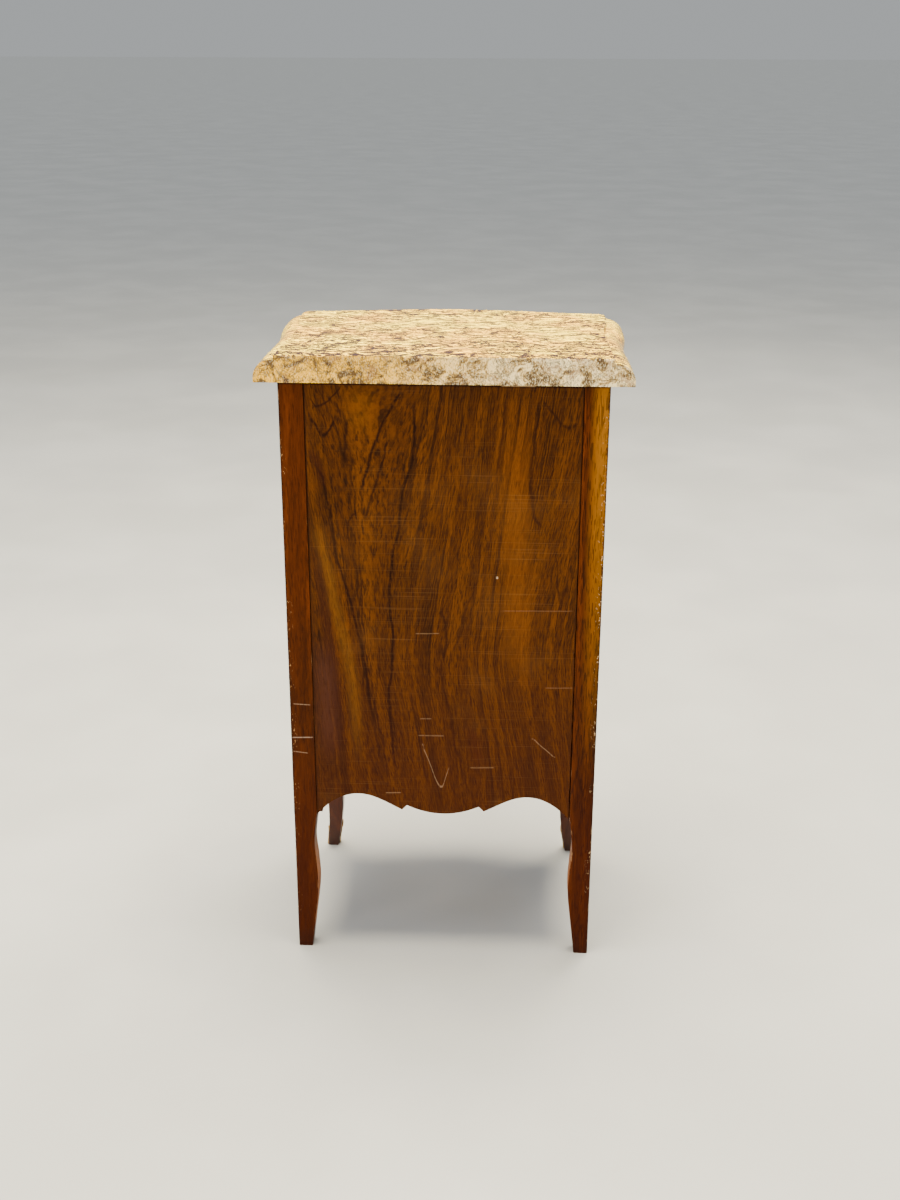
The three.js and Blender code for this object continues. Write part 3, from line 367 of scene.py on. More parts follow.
class Surface:
    """A material while its nodes are being joined."""

    def __init__(self, name: str) -> None:
        """Starts an empty node tree with one shader.

        Args:
            name: the finish's name.
        """
        self.material = bpy.data.materials.new(name)
        self.material.use_nodes = True
        self.tree = self.material.node_tree
        self.tree.nodes.clear()
        self.shader = self.tree.nodes.new("ShaderNodeBsdfPrincipled")
        output = self.tree.nodes.new("ShaderNodeOutputMaterial")
        self.tree.links.new(self.shader.outputs[0], output.inputs[0])

    def add(
        self, kind: str, *values: Value, out: int | str = 0, stops: list | None = None, **settings: object
    ) -> Socket:
        """Adds one node, sets its properties and fills or links its inputs.

        Args:
            kind: the node's type without its prefix, with its operation after a colon.
            values: what goes into its shown inputs, in their order; None leaves one as it is.
            out: the output to return, by its name or by its place among those shown.
            stops: positions and colours of a colour ramp, which joins them smoothly.
            settings: the node's properties.

        Returns:
            The output.
        """
        kind, _, operation = kind.partition(":")
        if operation:
            settings["operation"] = operation
        node = self.tree.nodes.new(f"ShaderNode{kind}")
        for key, value in {**USUAL.get(kind, {}), **settings}.items():
            setattr(node, key, value)
        for number, (position, colour) in enumerate(stops or []):
            elements = node.color_ramp.elements
            node.color_ramp.interpolation = "CARDINAL"
            element = elements[number] if number < 2 else elements.new(position)
            element.position, element.color = position, colour
        self.fill([s for s in node.inputs if s.enabled], values)
        shown = {s.name: s for s in reversed(node.outputs) if s.enabled}
        return shown[out] if isinstance(out, str) else [s for s in node.outputs if s.enabled][out]

    def fill(self, sockets: list[Socket], values: tuple) -> None:
        """Links each value that is a socket and sets the others, hex colours as linear ones.

        Args:
            sockets: the inputs.
            values: one for each input, or fewer.
        """
        for socket, value in zip(sockets, values):
            if isinstance(value, Socket):
                self.tree.links.new(value, socket)
            elif isinstance(value, str):
                socket.default_value = linear(value)
            elif value is not None:
                socket.default_value = value

    def product(self, *parts: Part) -> Part:
        """Multiplies numbers that vary over the surface, each read over its range first."""
        read = [self.add("MapRange", *part) if isinstance(part, tuple) else part for part in parts]
        return reduce(lambda whole, part: self.add("Math", whole, part), read)

    def layered(self, colour: Value, *layers: tuple) -> Value:
        """Lays colours over one another.

        Args:
            colour: the ground.
            layers: for each the colour, then the numbers whose product says how much of it shows.

        Returns:
            The colour on top.
        """
        for paint, *parts in layers:
            colour = self.add("Mix", self.product(*parts), colour, paint)
        return colour

    def ridge(self, value: Socket, middle: Value, outer: float, inner: float, strength: float = 1.0) -> Socket:
        """Marks where a value passes a middle one: it begins at the outer difference and is full at the inner."""
        away = self.add("Math:ABSOLUTE", self.add("Math:SUBTRACT", value, middle))
        return self.add("MapRange", away, outer, inner, 0.0, strength)

    def grains(self, point: Socket, *sizes: float) -> Socket:
        """Scales a place so that a pattern's grains have these sizes along x, y and z, in millimetres."""
        return self.add("VectorMath", point, tuple(1 / (size * MM) for size in sizes))

    def stir(self, point: Socket, sizes: tuple, detail: float, roughness: float, reach: tuple) -> Socket:
        """Works out an offset that wanders: coloured noise less its middle, times its reach in metres."""
        noise = self.add("TexNoise", self.grains(point, *sizes), 1.0, detail, roughness, out="Color")
        return self.add("VectorMath", self.add("VectorMath:SUBTRACT", noise, (0.5, 0.5, 0.5)), reach)

    def finish(self, **values: Value) -> Material:
        """Sets the shader's inputs and gives the material.

        Args:
            values: the shader's inputs by name, with spaces as underscores.

        Returns:
            The material.
        """
        for key, value in values.items():
            self.fill([self.shader.inputs[key.replace("_", " ")]], (value,))
        self.material.diffuse_color = linear(VIEWPORT_GREY)
        return self.material


class Grain(Enum):
    """Which way the wood's fibres run: the order in which x, y and z become across, through and along."""

    X = (1, 2, 0)
    Y = (0, 2, 1)


@dataclass(frozen=True)
class Figure:
    """How one kind of wood is figured, in metres where it is a length."""

    light: str
    mid: str
    dark: str
    ring: float
    pith: tuple[float, float]
    lean: float
    wander: float = 6 * MM
    line_strength: float = 0.6
    cloud_strength: float = 0.4
    fibre: float = 2.2 * MM
    fibre_strength: float = 0.4
    pore: float = 1.5 * MM
    pore_strength: float = 0.5


def wood(s: Surface, point: Socket, f: Figure) -> tuple[Socket, Socket]:
    """Colours sawn wood whose fibres run along z of the given point.

    Growth rings are circles about a pith line that leans through the board, so that a face cuts them as
    nested arches: radius = length of (across - pith, through - pith + lean x along), stirred by noise.
    The tone is noise along the radius, and a thin dark line stands where that noise passes its middle.
    Fibres and pores are drawn about twice as coarse as real ones, which would be too fine to show.

    Args:
        s: the surface.
        point: across, through and along, in metres.
        f: the wood's figure.

    Returns:
        The colour, and a height of fibres and pores for the bump.
    """
    slow = s.stir(point, (142.86, 142.86, 666.67), 1.0, 0.5, (f.wander * 4,) * 3)
    flowing = s.add("VectorMath:ADD", point, slow)
    quick = s.stir(point, (8.3333, 8.3333, 29.412), 2.0, 0.6, (6 * MM,) * 3)
    jagged = s.add("VectorMath:ADD", flowing, quick)
    across, through, _ = s.add("SeparateXYZ", jagged).node.outputs
    across = s.add("Math:SUBTRACT", across, f.pith[0])
    through = s.add("Math:SUBTRACT", through, f.pith[1])
    lean = s.product(s.add("SeparateXYZ", point, out="Z"), f.lean)
    arched = s.add("CombineXYZ", across, s.add("Math:ADD", through, lean), 0.0)
    radius = s.add("VectorMath:LENGTH", arched, out="Value")
    band = s.add("TexNoise", s.product(radius, 1 / f.ring), 1.0, 2.0, 0.7, noise_dimensions="1D")
    present = s.add("TexNoise", s.grains(flowing, 29.412, 29.412, 142.86), 1.0, 2.0, 0.6)
    cloud = s.add("TexNoise", s.grains(flowing, 26.316, 26.316, 200), 1.0, 3.0, 0.55)
    fine, short = (s.add("VectorMath", flowing, (1 / size, 1 / size, 0.1 / size)) for size in (f.fibre, f.pore))
    fibre = s.add("TexNoise", fine, 1.0, 3.0, 0.7)
    pores = s.product((s.add("TexNoise", short, 1.0, 1.0, 0.5), 0.56, 0.68))
    colour = s.layered(
        f.mid,
        (f.light, (band, 0.36, 0.64)),
        (f.dark, (cloud, 0.52, 0.32, 0.0, f.cloud_strength)),
        (f.dark, s.ridge(band, 0.5, 0.055, 0.006), (present, 0.38, 0.62, 0.1, 1.0), f.line_strength),
        (f.dark, (fibre, 0.34, 0.62, f.fibre_strength, 0.0)),
        (f.light, (fibre, 0.56, 0.74, 0.0, f.fibre_strength * 0.7)),
        (f.dark, pores, f.pore_strength),
    )
    return colour, s.add("Math:SUBTRACT", fibre, s.product(pores, 0.8))


@dataclass(frozen=True)
class Stroke:
    """A line drawn over a wooden face: x and z of its points and its half width, in mm, and its softness.

    It runs one way in x or in z, so that its place aside is a function of its place along.
    """

    points: tuple
    half_width: float
    colour: str
    strength: float = 0.6
    softness: float = 1.0
    streak_width: float = 3.0
    fades: tuple[float, float] = (0.08, 0.28)

    def mask(self, s: Surface, x: Socket, z: Socket) -> Socket:
        """Finds how much of the stroke lies at a place.

        A ramp along the line holds its offset aside, and an alpha that fades its two ends, longer for a
        broad streak. The mask is that alpha where the distance aside, corrected for the line's slope, is
        under the half width.

        Args:
            s: the surface.
            x: place across the face.
            z: height on the face.

        Returns:
            A number from 0 to the stroke's strength.
        """
        points = np.array(self.points) * MM
        steps = np.diff(points[:, 1])
        one_way = bool(np.all(steps > 0) or np.all(steps < 0))
        upright = one_way and np.ptp(points[:, 1]) >= np.ptp(points[:, 0]) / 2
        run, aside = (points[:, 1], points[:, 0]) if upright else (points[:, 0], points[:, 1])
        order = np.argsort(run)
        run, aside = run[order], aside[order]
        slope = np.hypot(np.diff(run), np.diff(aside)).sum() / np.ptp(run)
        low, span = float(aside.min()), max(float(np.ptp(aside)), 1e-6)
        shares, greys = (run - run[0]) / np.ptp(run), (aside - low) / span
        fade = self.fades[self.half_width >= self.streak_width]
        amber_highlight = np.array([fade, 1 - fade])
        shares, greys = np.append(shares, amber_highlight), np.append(greys, np.interp(amber_highlight, shares, greys))
        order = np.argsort(shares)
        ends = [float(0 < number < len(order) - 1) for number in range(len(order))]
        stops = [(float(shares[i]), (*[float(greys[i])] * 3, end)) for i, end in zip(order, ends)]
        along, across = (z, x) if upright else (x, z)
        place_along = s.add("MapRange", along, float(run[0]), float(run[-1]), interpolation_type="LINEAR")
        offset = s.add("ValToRGB", place_along, stops=stops)
        line = s.add("Math:MULTIPLY_ADD", offset, span, low)
        wide = self.half_width * MM * slope
        core = wide * (1 - min(self.softness, 1) * 0.9)
        near = s.ridge(across, line, wide * (1 + self.softness), core, self.strength)
        return s.product(near, offset.node.outputs["Alpha"])


def stroked(s: Surface, point: Socket, colour: Socket, strokes: tuple[Stroke, ...]) -> Socket:
    """Draws strokes over a colour, a little broken along their way.

    Args:
        s: the surface.
        point: the place, in metres, already stirred a little.
        colour: the colour beneath.
        strokes: what to draw.

    Returns:
        The colour with the strokes.
    """
    x, _, z = s.add("SeparateXYZ", point).node.outputs
    broken = s.add("TexNoise", s.grains(point, 2.381, 2.381, 11.111), 1.0, 2.0, 0.6)
    broken = s.product((broken, 0.36, 0.5, 0.5, 1.0))
    return s.layered(colour, *((stroke.colour, stroke.mask(s, x, z), broken) for stroke in strokes))


@dataclass(frozen=True)
class PolishedWood:
    """Solid walnut under worn French polish: a satin sheen, arrises rubbed pale, feet scuffed dark."""

    name: str
    figure: Figure
    roughness: float = 0.42
    gloss: float = 0.06
    wear: str = "#c2905a"
    wear_amount: float = 0.5
    foot_dark: str = "#241008"
    foot_scuffed: float = 35 * MM
    amber_highlight: str = ""
    outer_edge: float = 0.0
    back_plane: float = 152.4 * MM
    raw: str = "#a0602c"
    painted_foot_shade: str = "#3a0c00"
    under_marble: tuple[float, float] = (711.5 * MM, 714.2 * MM)
    strokes: tuple[Stroke, ...] = ()

    def build(self) -> Material:
        """Makes the material, which reads the attributes arris and inner.

        Returns:
            The material.
        """
        s = Surface(self.name)
        here = s.add("TexCoord", out="Object")
        x, y, z = s.add("SeparateXYZ", here).node.outputs
        aside = s.add("Math:ABSOLUTE", x)
        colour, height = wood(s, here, self.figure)
        if self.amber_highlight:
            # The back of the post turns amber towards its outer arris, less so lower down: the wood's own amber tone
            # with a painted highlight along the rounded arris
            colour = s.layered(
                colour,
                (self.amber_highlight, (aside, 0.156, 0.171), (y, 0.132, 0.15), (z, 0.2, 0.68, 0.0, 0.95)),
                (self.figure.dark, (height, 0.5, 0.25, 0.0, 0.55)),
            )
        if self.strokes:
            colour = stroked(s, here, colour, self.strokes)
        if self.outer_edge:
            # A dark jagged line runs along the outer arris, which is chipped down to pale wood in places
            edge, ragged = self.outer_edge, 1.2 * MM
            behind = s.product((y, self.back_plane - 7 * MM, self.back_plane - 2 * MM))
            chips = s.add("TexNoise", s.grains(here, 2.381, 2.381, 4.1667), 1.0, 3.0, 0.6)
            jagged = s.add("Math:ADD", aside, s.product((chips, 0.3, 0.7, -ragged, ragged)))
            run = s.add("TexNoise", here, 1 / (26.316 * MM), 1.0)
            near = (aside, edge - 9 * MM, edge - 1 * MM)
            colour = s.layered(
                colour,
                (DARK_LINE_AND_SHADE, (jagged, edge - 2.2 * MM, edge - 0.8 * MM, 0.0, 0.8), behind),
                (self.wear, (chips, 0.585, 0.65, 0.0, 0.8), near, behind, (run, 0.5, 0.58)),
            )
        inner, arris = (s.add("Attribute", attribute_name=name, out="Fac") for name in ("inner", "arris"))
        scuff = s.add("TexNoise", here, 1 / (4.7619 * MM), 4.0, 0.7)
        grit = s.add("TexNoise", s.grains(here, 3.3333, 3.3333, 11.111), 1.0, 3.0, 0.75, None, 0.4)
        patch = s.add("TexNoise", here, 1 / (47.619 * MM))
        rubbed = s.product((grit, 0.5, 0.64), (patch, 0.5, 0.7), arris, self.wear_amount)
        colour = s.layered(
            colour,
            # Painted shade, darker towards the floor
            (self.painted_foot_shade, (z, 0.34, 0.1, 0.0, 0.4)),
            (self.raw, inner, 0.7),
            (self.foot_dark, (z, self.foot_scuffed, 0.0, 0.0, 0.6), (scuff, 0.35, 0.55, 0.5, 1.0)),
            # Painted shade under the marble
            (DARK_LINE_AND_SHADE, (z, *self.under_marble, 0.0, 0.6)),
            (self.wear, rubbed),
        )
        gloss = s.add("Math:ADD", s.product((scuff, 0.3, 0.7, -0.06, 0.08)), self.roughness)
        return s.finish(
            Base_Color=colour,
            Roughness=s.add("Math:ADD", gloss, rubbed),
            Normal=s.add("Bump", 0.7, 0.16 * MM, None, height),
            Specular_IOR_Level=self.gloss,
        )


@dataclass(frozen=True)
class PlainWood:
    """Unpolished drawer and carcase wood: dry, pale and open-grained, darker where hands and dust reach."""

    name: str
    figure: Figure
    grain: Grain
    grime: str = "#4a3018"
    roughness: float = 0.72

    def build(self) -> Material:
        """Makes the material.

        Returns:
            The material.
        """
        s = Surface(self.name)
        here = s.add("TexCoord", out="Object")
        parts = s.add("SeparateXYZ", here).node.outputs
        colour, height = wood(s, s.add("CombineXYZ", *(parts[i] for i in self.grain.value)), self.figure)
        cloud = s.add("TexNoise", here, 1 / (71.429 * MM), 4.0, 0.6, None, 0.2)
        colour = s.layered(colour, (self.grime, (cloud, 0.42, 0.75, 0.0, 0.45)))
        return s.finish(Base_Color=colour, Roughness=self.roughness, Normal=s.add("Bump", 0.8, 0.2 * MM, None, height))


@dataclass(frozen=True)
class BackVeneer:
    """Sliced walnut veneer on the back: arched figure, one long dark line, golden streaks and old scratches."""

    name: str
    figure: Figure
    strokes: tuple[Stroke, ...]
    scratches: tuple[Stroke, ...]
    bloom: str = "#6a431c"
    painted_low_shade: str = "#361002"
    rub: str = "#8a6034"
    gloss: float = 0.07
    waist: float = 0.39
    waist_round: float = 0.03
    drift: float = 0.16
    side_lean: float = 0.11
    panel_half: float = 151.2 * MM
    gap_shade: float = 2 * MM
    under_marble: tuple[float, float] = (711.5 * MM, 713.8 * MM)

    def build(self) -> Material:
        """Makes the material.

        Returns:
            The material.
        """
        s = Surface(self.name)
        here = s.add("TexCoord", out="Object")
        x, y, z = s.add("SeparateXYZ", here).node.outputs
        # The figure drifts to -x both up and down from its waist; near the +x edge it leans the other way
        up = s.add("Math:SUBTRACT", z, self.waist)
        fold = s.add("Math:ADD", s.product(up, up), self.waist_round**2)
        fold = s.product(s.add("Math:SQRT", fold), self.drift)
        shift = s.add("Mix", s.product((x, 0.0, 0.15)), fold, s.product(up, -self.side_lean), data_type="FLOAT")
        bent = s.add("CombineXYZ", s.add("Math:ADD", x, shift), y, z)
        colour, height = wood(s, bent, self.figure)
        flat = s.add("CombineXYZ", x, 0.0, z)
        wobble = s.stir(flat, (29.412, 29.412, 29.412), 3.0, 0.6, (8 * MM, 0.0, 8 * MM))
        slight = s.add("VectorMath:SCALE", wobble, 0.2)
        wavy, waver = (s.add("VectorMath:ADD", flat, offset) for offset in (wobble, slight))
        cloud = s.add("TexNoise", here, 1 / (111.11 * MM), 5.0, 0.62, None, 0.4)
        rubbed = s.add("TexNoise", s.grains(here, 142.86, 142.86, 1.6129), 1.0, 2.0, 0.6)
        # Painted shade in the gaps against the posts and under the marble
        aside = s.add("Math:ABSOLUTE", x)
        shaded_gaps = (aside, self.panel_half - self.gap_shade, self.panel_half), (z, *self.under_marble)
        gap_shade = s.add("Math:MAXIMUM", *(s.product(side) for side in shaded_gaps))
        colour = s.layered(
            stroked(s, wavy, colour, self.strokes),
            # Painted shade, darker towards the bottom of the panel
            (self.painted_low_shade, (z, 0.5, 0.19, 0.0, 0.42)),
            (self.bloom, (cloud, 0.52, 0.78, 0.0, 0.25)),
            (self.rub, (rubbed, 0.56, 0.8, 0.0, 0.26), (cloud, 0.35, 0.65, 0.15, 1.0)),
            (DARK_LINE_AND_SHADE, gap_shade, (z, 0.3, 0.6, 0.4, 0.9)),
        )
        warp = s.add("Bump", 0.6, 4 * MM, None, s.add("TexNoise", here, 1 / (166.67 * MM)))
        return s.finish(
            Base_Color=stroked(s, waver, colour, self.scratches),
            Roughness=s.product((cloud, 0.3, 0.75, 0.42, 0.6)),
            Normal=s.add("Bump", 0.7, 0.12 * MM, None, height, warp),
            Specular_IOR_Level=self.gloss,
        )


@dataclass(frozen=True)
class BandedVeneer:
    """Book-matched walnut veneer with a crossbanded border and a pale string between two dark ones."""

    name: str
    figure: Figure
    band_figure: Figure
    mirrored: bool = True
    band: float = 13.5 * MM
    string: float = 1.1 * MM
    string_colour: str = "#c29a5e"
    ebony: str = "#180b05"
    ebony_width: float = 2.4
    border_dark: str = "#2a1207"
    roughness: float = 0.3

    def build(self) -> Material:
        """Makes the material, which reads the attributes veneer and border.

        Returns:
            The material.
        """
        s = Surface(self.name)
        here, border = (s.add("Attribute", attribute_name=name, out="Vector") for name in ("veneer", "border"))
        side, low, high = s.add("SeparateXYZ", border).node.outputs
        across, through, along = s.add("SeparateXYZ", here).node.outputs
        if self.mirrored:
            across = s.add("Math:ABSOLUTE", across)
        level = s.add("CombineXYZ", along, through, across)
        upright = s.add("CombineXYZ", across, through, along)
        colour, height = wood(s, upright, self.figure)
        banded, crossbanded = (wood(s, way, self.band_figure)[0] for way in (level, upright))
        ends = s.add("Math:MINIMUM", low, high)
        nearest = s.add("Math:MINIMUM", side, ends)
        crossed = s.layered(banded, (crossbanded, s.add("Math:LESS_THAN", ends, side)))
        dark, pale = (
            s.ridge(nearest, self.band, self.string * width * 0.56, self.string * width * 0.44)
            for width in (self.ebony_width, 1.0)
        )
        cloud = s.add("TexNoise", here, 1 / (62.5 * MM), 4.0, 0.6, None, 0.2)
        colour = s.layered(
            colour,
            (crossed, s.add("Math:LESS_THAN", nearest, self.band)),
            (self.ebony, dark),
            (self.string_colour, pale),
            # Darker within 3.5 mm of the border
            (self.border_dark, (nearest, 3.5 * MM, 0.0, 0.0, 0.45)),
        )
        return s.finish(
            Base_Color=colour,
            Roughness=s.product((cloud, 0.3, 0.75, self.roughness - 0.06, self.roughness + 0.12)),
            Normal=s.add("Bump", 0.6, 0.09 * MM, None, height),
            Specular_IOR_Level=0.35,
            Coat_Weight=0.18,
            Coat_Roughness=0.16,
        )


@dataclass(frozen=True)
class Marble:
    """Yellow brecciated marble, polished above and sawn behind: cream ground, short wavy mauve-brown veins."""

    name: str = "polished_yellow_marble"
    ground: str = "#f6bc1c"
    cream: str = "#ffde2c"
    vein: str = "#220d0a"
    mauve: str = "#80563a"
    ochre: str = "#cf980c"
    sawn: str = "#f2b61a"
    chalk: str = "#ffe8ac"
    pale: str = "#fff0c0"
    saw_dark: str = "#33201a"
    back_plane: float = 155.4 * MM
    top_plane: float = 745 * MM
    polish: float = 0.14
    gloss: float = 0.3

    def veins(self, s: Surface, bent: Socket, y: Socket, z: Socket) -> Socket:
        """Colours the polished stone: short wavy veins that run left and right, denser towards the back.

        A vein stands where stretched noise passes its middle value. The moulding shows fewer than the top.

        Args:
            s: the surface.
            bent: the place, stirred.
            y: the place's y.
            z: the place's height.

        Returns:
            The colour.
        """
        first, second = (
            s.add("TexNoise", s.grains(bent, *sizes), 1.0, detail, 0.62, 2.1, 0.4)
            for sizes, detail in (((45.455, 10, 11.111), 5.0), ((20.833, 4.5455, 5), 4.0))
        )
        broad = s.add("TexNoise", bent, 1 / (66.667 * MM), 3.0, 0.55)
        ranges = (broad, 0.34, 0.58, 0.85, 1.05), (y, 0.0, 0.14, 0.0, 0.3)
        dense = s.add("Math:ADD", *(s.product(part) for part in ranges))
        dense = s.product(dense, (z, self.top_plane - 5 * MM, self.top_plane - 0.5 * MM, 0.75, 1.0))
        return s.layered(
            self.cream,
            (self.ground, (broad, 0.38, 0.66)),
            (self.ochre, (second, 0.54, 0.7, 0.0, 0.45)),
            (self.mauve, (first, 0.55, 0.68, 0.0, 0.5), dense),
            (self.vein, s.ridge(first, 0.5, 0.062, 0.028), dense),
            (self.vein, s.ridge(second, 0.5, 0.068, 0.028, 0.75), dense),
        )

    def rough(self, s: Surface, here: Socket, speck: Socket) -> Socket:
        """Colours the sawn stone: ochre blotches that turn grey and chalky towards -x, specked all over.

        Args:
            s: the surface.
            here: the place.
            speck: the fine noise of the saw's marks.

        Returns:
            The colour.
        """
        blotch = s.add("TexNoise", here, 1 / (19.231 * MM), 5.0, 0.7, None, 0.8)
        aside = s.add("VectorMath:ADD", here, (3.1, 1.7, 0.4))
        other = s.add("TexNoise", aside, 1 / (20.833 * MM), 4.0, 0.65, None, 0.6)
        chalky = s.product((s.add("SeparateXYZ", here, out="X"), 0.1, -0.12))
        crack = s.ridge(other, 0.5, 0.035, 0.005, 0.7)
        cracked = s.add("Math:MAXIMUM", s.product((blotch, 0.53, 0.41, 0.0, 0.9)), crack)
        return s.layered(
            self.sawn,
            (self.ground, (other, 0.4, 0.6)),
            (self.chalk, chalky, (blotch, 0.42, 0.56, 0.3, 0.9)),
            (self.mauve, (other, 0.5, 0.62, 0.0, 0.7)),
            (self.saw_dark, cracked),
            (self.pale, (speck, 0.53, 0.64, 0.0, 0.6), (chalky, 0.0, 0.6, 0.5, 1.0)),
            (self.saw_dark, (speck, 0.47, 0.37, 0.0, 0.6)),
        )

    def build(self) -> Material:
        """Makes the material, which reads the attribute chip for broken spots on the arris.

        Returns:
            The material.
        """
        s = Surface(self.name)
        here = s.add("TexCoord", out="Object")
        stir = s.stir(here, (29.412, 29.412, 29.412), 3.0, 0.6, (20 * MM, 24 * MM, 20 * MM))
        _, y, z = s.add("SeparateXYZ", here).node.outputs
        rear = (y, self.back_plane - 0.5 * MM, self.back_plane - 0.2 * MM)
        behind = s.product(rear, (z, self.top_plane, self.top_plane - 0.6 * MM))
        chip = s.product((s.add("Attribute", attribute_name="chip", out="Fac"), 0.2, 0.6))
        sawn = s.add("Math:MAXIMUM", behind, chip)
        speck = s.add("TexNoise", s.grains(here, 1.1628, 1.1628, 2.381), 1.0, 3.0, 0.7)
        polished = self.veins(s, s.add("VectorMath:ADD", here, stir), y, z)
        return s.finish(
            Base_Color=s.layered(polished, (self.rough(s, here, speck), sawn)),
            Roughness=s.add("Math:ADD", s.product(sawn, 0.5), self.polish),
            Normal=s.add("Bump", 0.8, 0.5 * MM, None, s.product(speck, sawn)),
            Specular_IOR_Level=self.gloss,
        )


@dataclass(frozen=True)
class GiltBrass:
    """Cast and chased brass with worn gilding: bright on the high parts, brown in the hollows."""

    name: str = "worn_gilt_brass"
    bright: str = "#dbb267"
    body: str = "#ab8240"
    tarnish: str = "#48321a"
    roughness: float = 0.27

    def build(self) -> Material:
        """Makes the material, which reads the attribute relief.

        Returns:
            The material.
        """
        s = Surface(self.name)
        here = s.add("TexCoord", out="Object")
        high = s.add("Attribute", attribute_name="relief", out="Fac")
        cloud = s.add("TexNoise", here, 1 / (6.25 * MM), 4.0, 0.65)
        fine = s.add("TexNoise", here, 1 / (1.1111 * MM), 2.0, 0.6)
        level = s.add("Math:ADD", high, s.product((cloud, 0.3, 0.7, -0.22, 0.22)))
        height = s.add("Math:ADD", cloud, s.product(fine, 0.3))
        return s.finish(
            Base_Color=s.layered(
                self.body, (self.bright, (level, 0.45, 0.85)), (self.tarnish, (level, 0.42, 0.08, 0.0, 0.9))
            ),
            Metallic=1.0,
            Roughness=s.product((level, 0.1, 0.8, self.roughness + 0.28, self.roughness)),
            Normal=s.add("Bump", 0.5, 0.18 * MM, None, height),
        )


@dataclass(frozen=True)
class Plain:
    """A nearly even finish: one colour, clouded by a second."""

    name: str
    colour: str
    cloud: str
    roughness: float
    metallic: float = 0.0
    grain: float = 8.3333 * MM

    def build(self) -> Material:
        """Makes the material.

        Returns:
            The material.
        """
        s = Surface(self.name)
        cloud = s.add("TexNoise", s.add("TexCoord", out="Object"), 1 / self.grain, 4.0, 0.6)
        return s.finish(
            Base_Color=s.layered(self.colour, (self.cloud, (cloud, 0.35, 0.7))),
            Roughness=s.product((cloud, 0.3, 0.7, self.roughness - 0.05, self.roughness + 0.05)),
            Metallic=self.metallic,
        )


BACK_FIGURE = Figure(
    "#5e3206", "#4d2704", "#140600", ring=12 * MM, pith=(0.42, 0.19), lean=0.08, wander=16 * MM, line_strength=0.65,
    fibre=1.3 * MM, fibre_strength=0.6, pore=1.1 * MM, pore_strength=0.6,
)
POST_FIGURE = Figure(
    "#5a2803", "#461d02", "#1a0700", ring=12 * MM, pith=(0.12, 0.05), lean=0.02, line_strength=0.35,
    cloud_strength=0.45, fibre_strength=0.35, pore_strength=0.4,
)
SAWN_VENEER = {"light": "#85470b", "mid": "#5f2c05", "dark": "#200a01", "line_strength": 0.8, "fibre_strength": 0.42}
FRONT_FIGURE = Figure(**SAWN_VENEER, ring=13 * MM, pith=(0.02, 0.06), lean=0.4)
SIDE_FIGURE = Figure(**SAWN_VENEER, ring=15 * MM, pith=(0.0, 0.075), lean=0.18)
BAND_FIGURE = Figure("#6d360a", "#4c2205", "#1d0802", ring=8 * MM, pith=(0.3, 0.05), lean=0.0, wander=2 * MM)
PLAIN_BOARD = {"pith": (0.2, 0.1), "lean": 0.03, "fibre_strength": 0.3}
OAK_FIGURE = Figure("#cba26a", "#b98a54", "#80592f", ring=6 * MM, line_strength=0.35, **PLAIN_BOARD)
BEECH_FIGURE = Figure("#bd8f5c", "#a77948", "#7a532c", ring=8 * MM, line_strength=0.25, **PLAIN_BOARD)

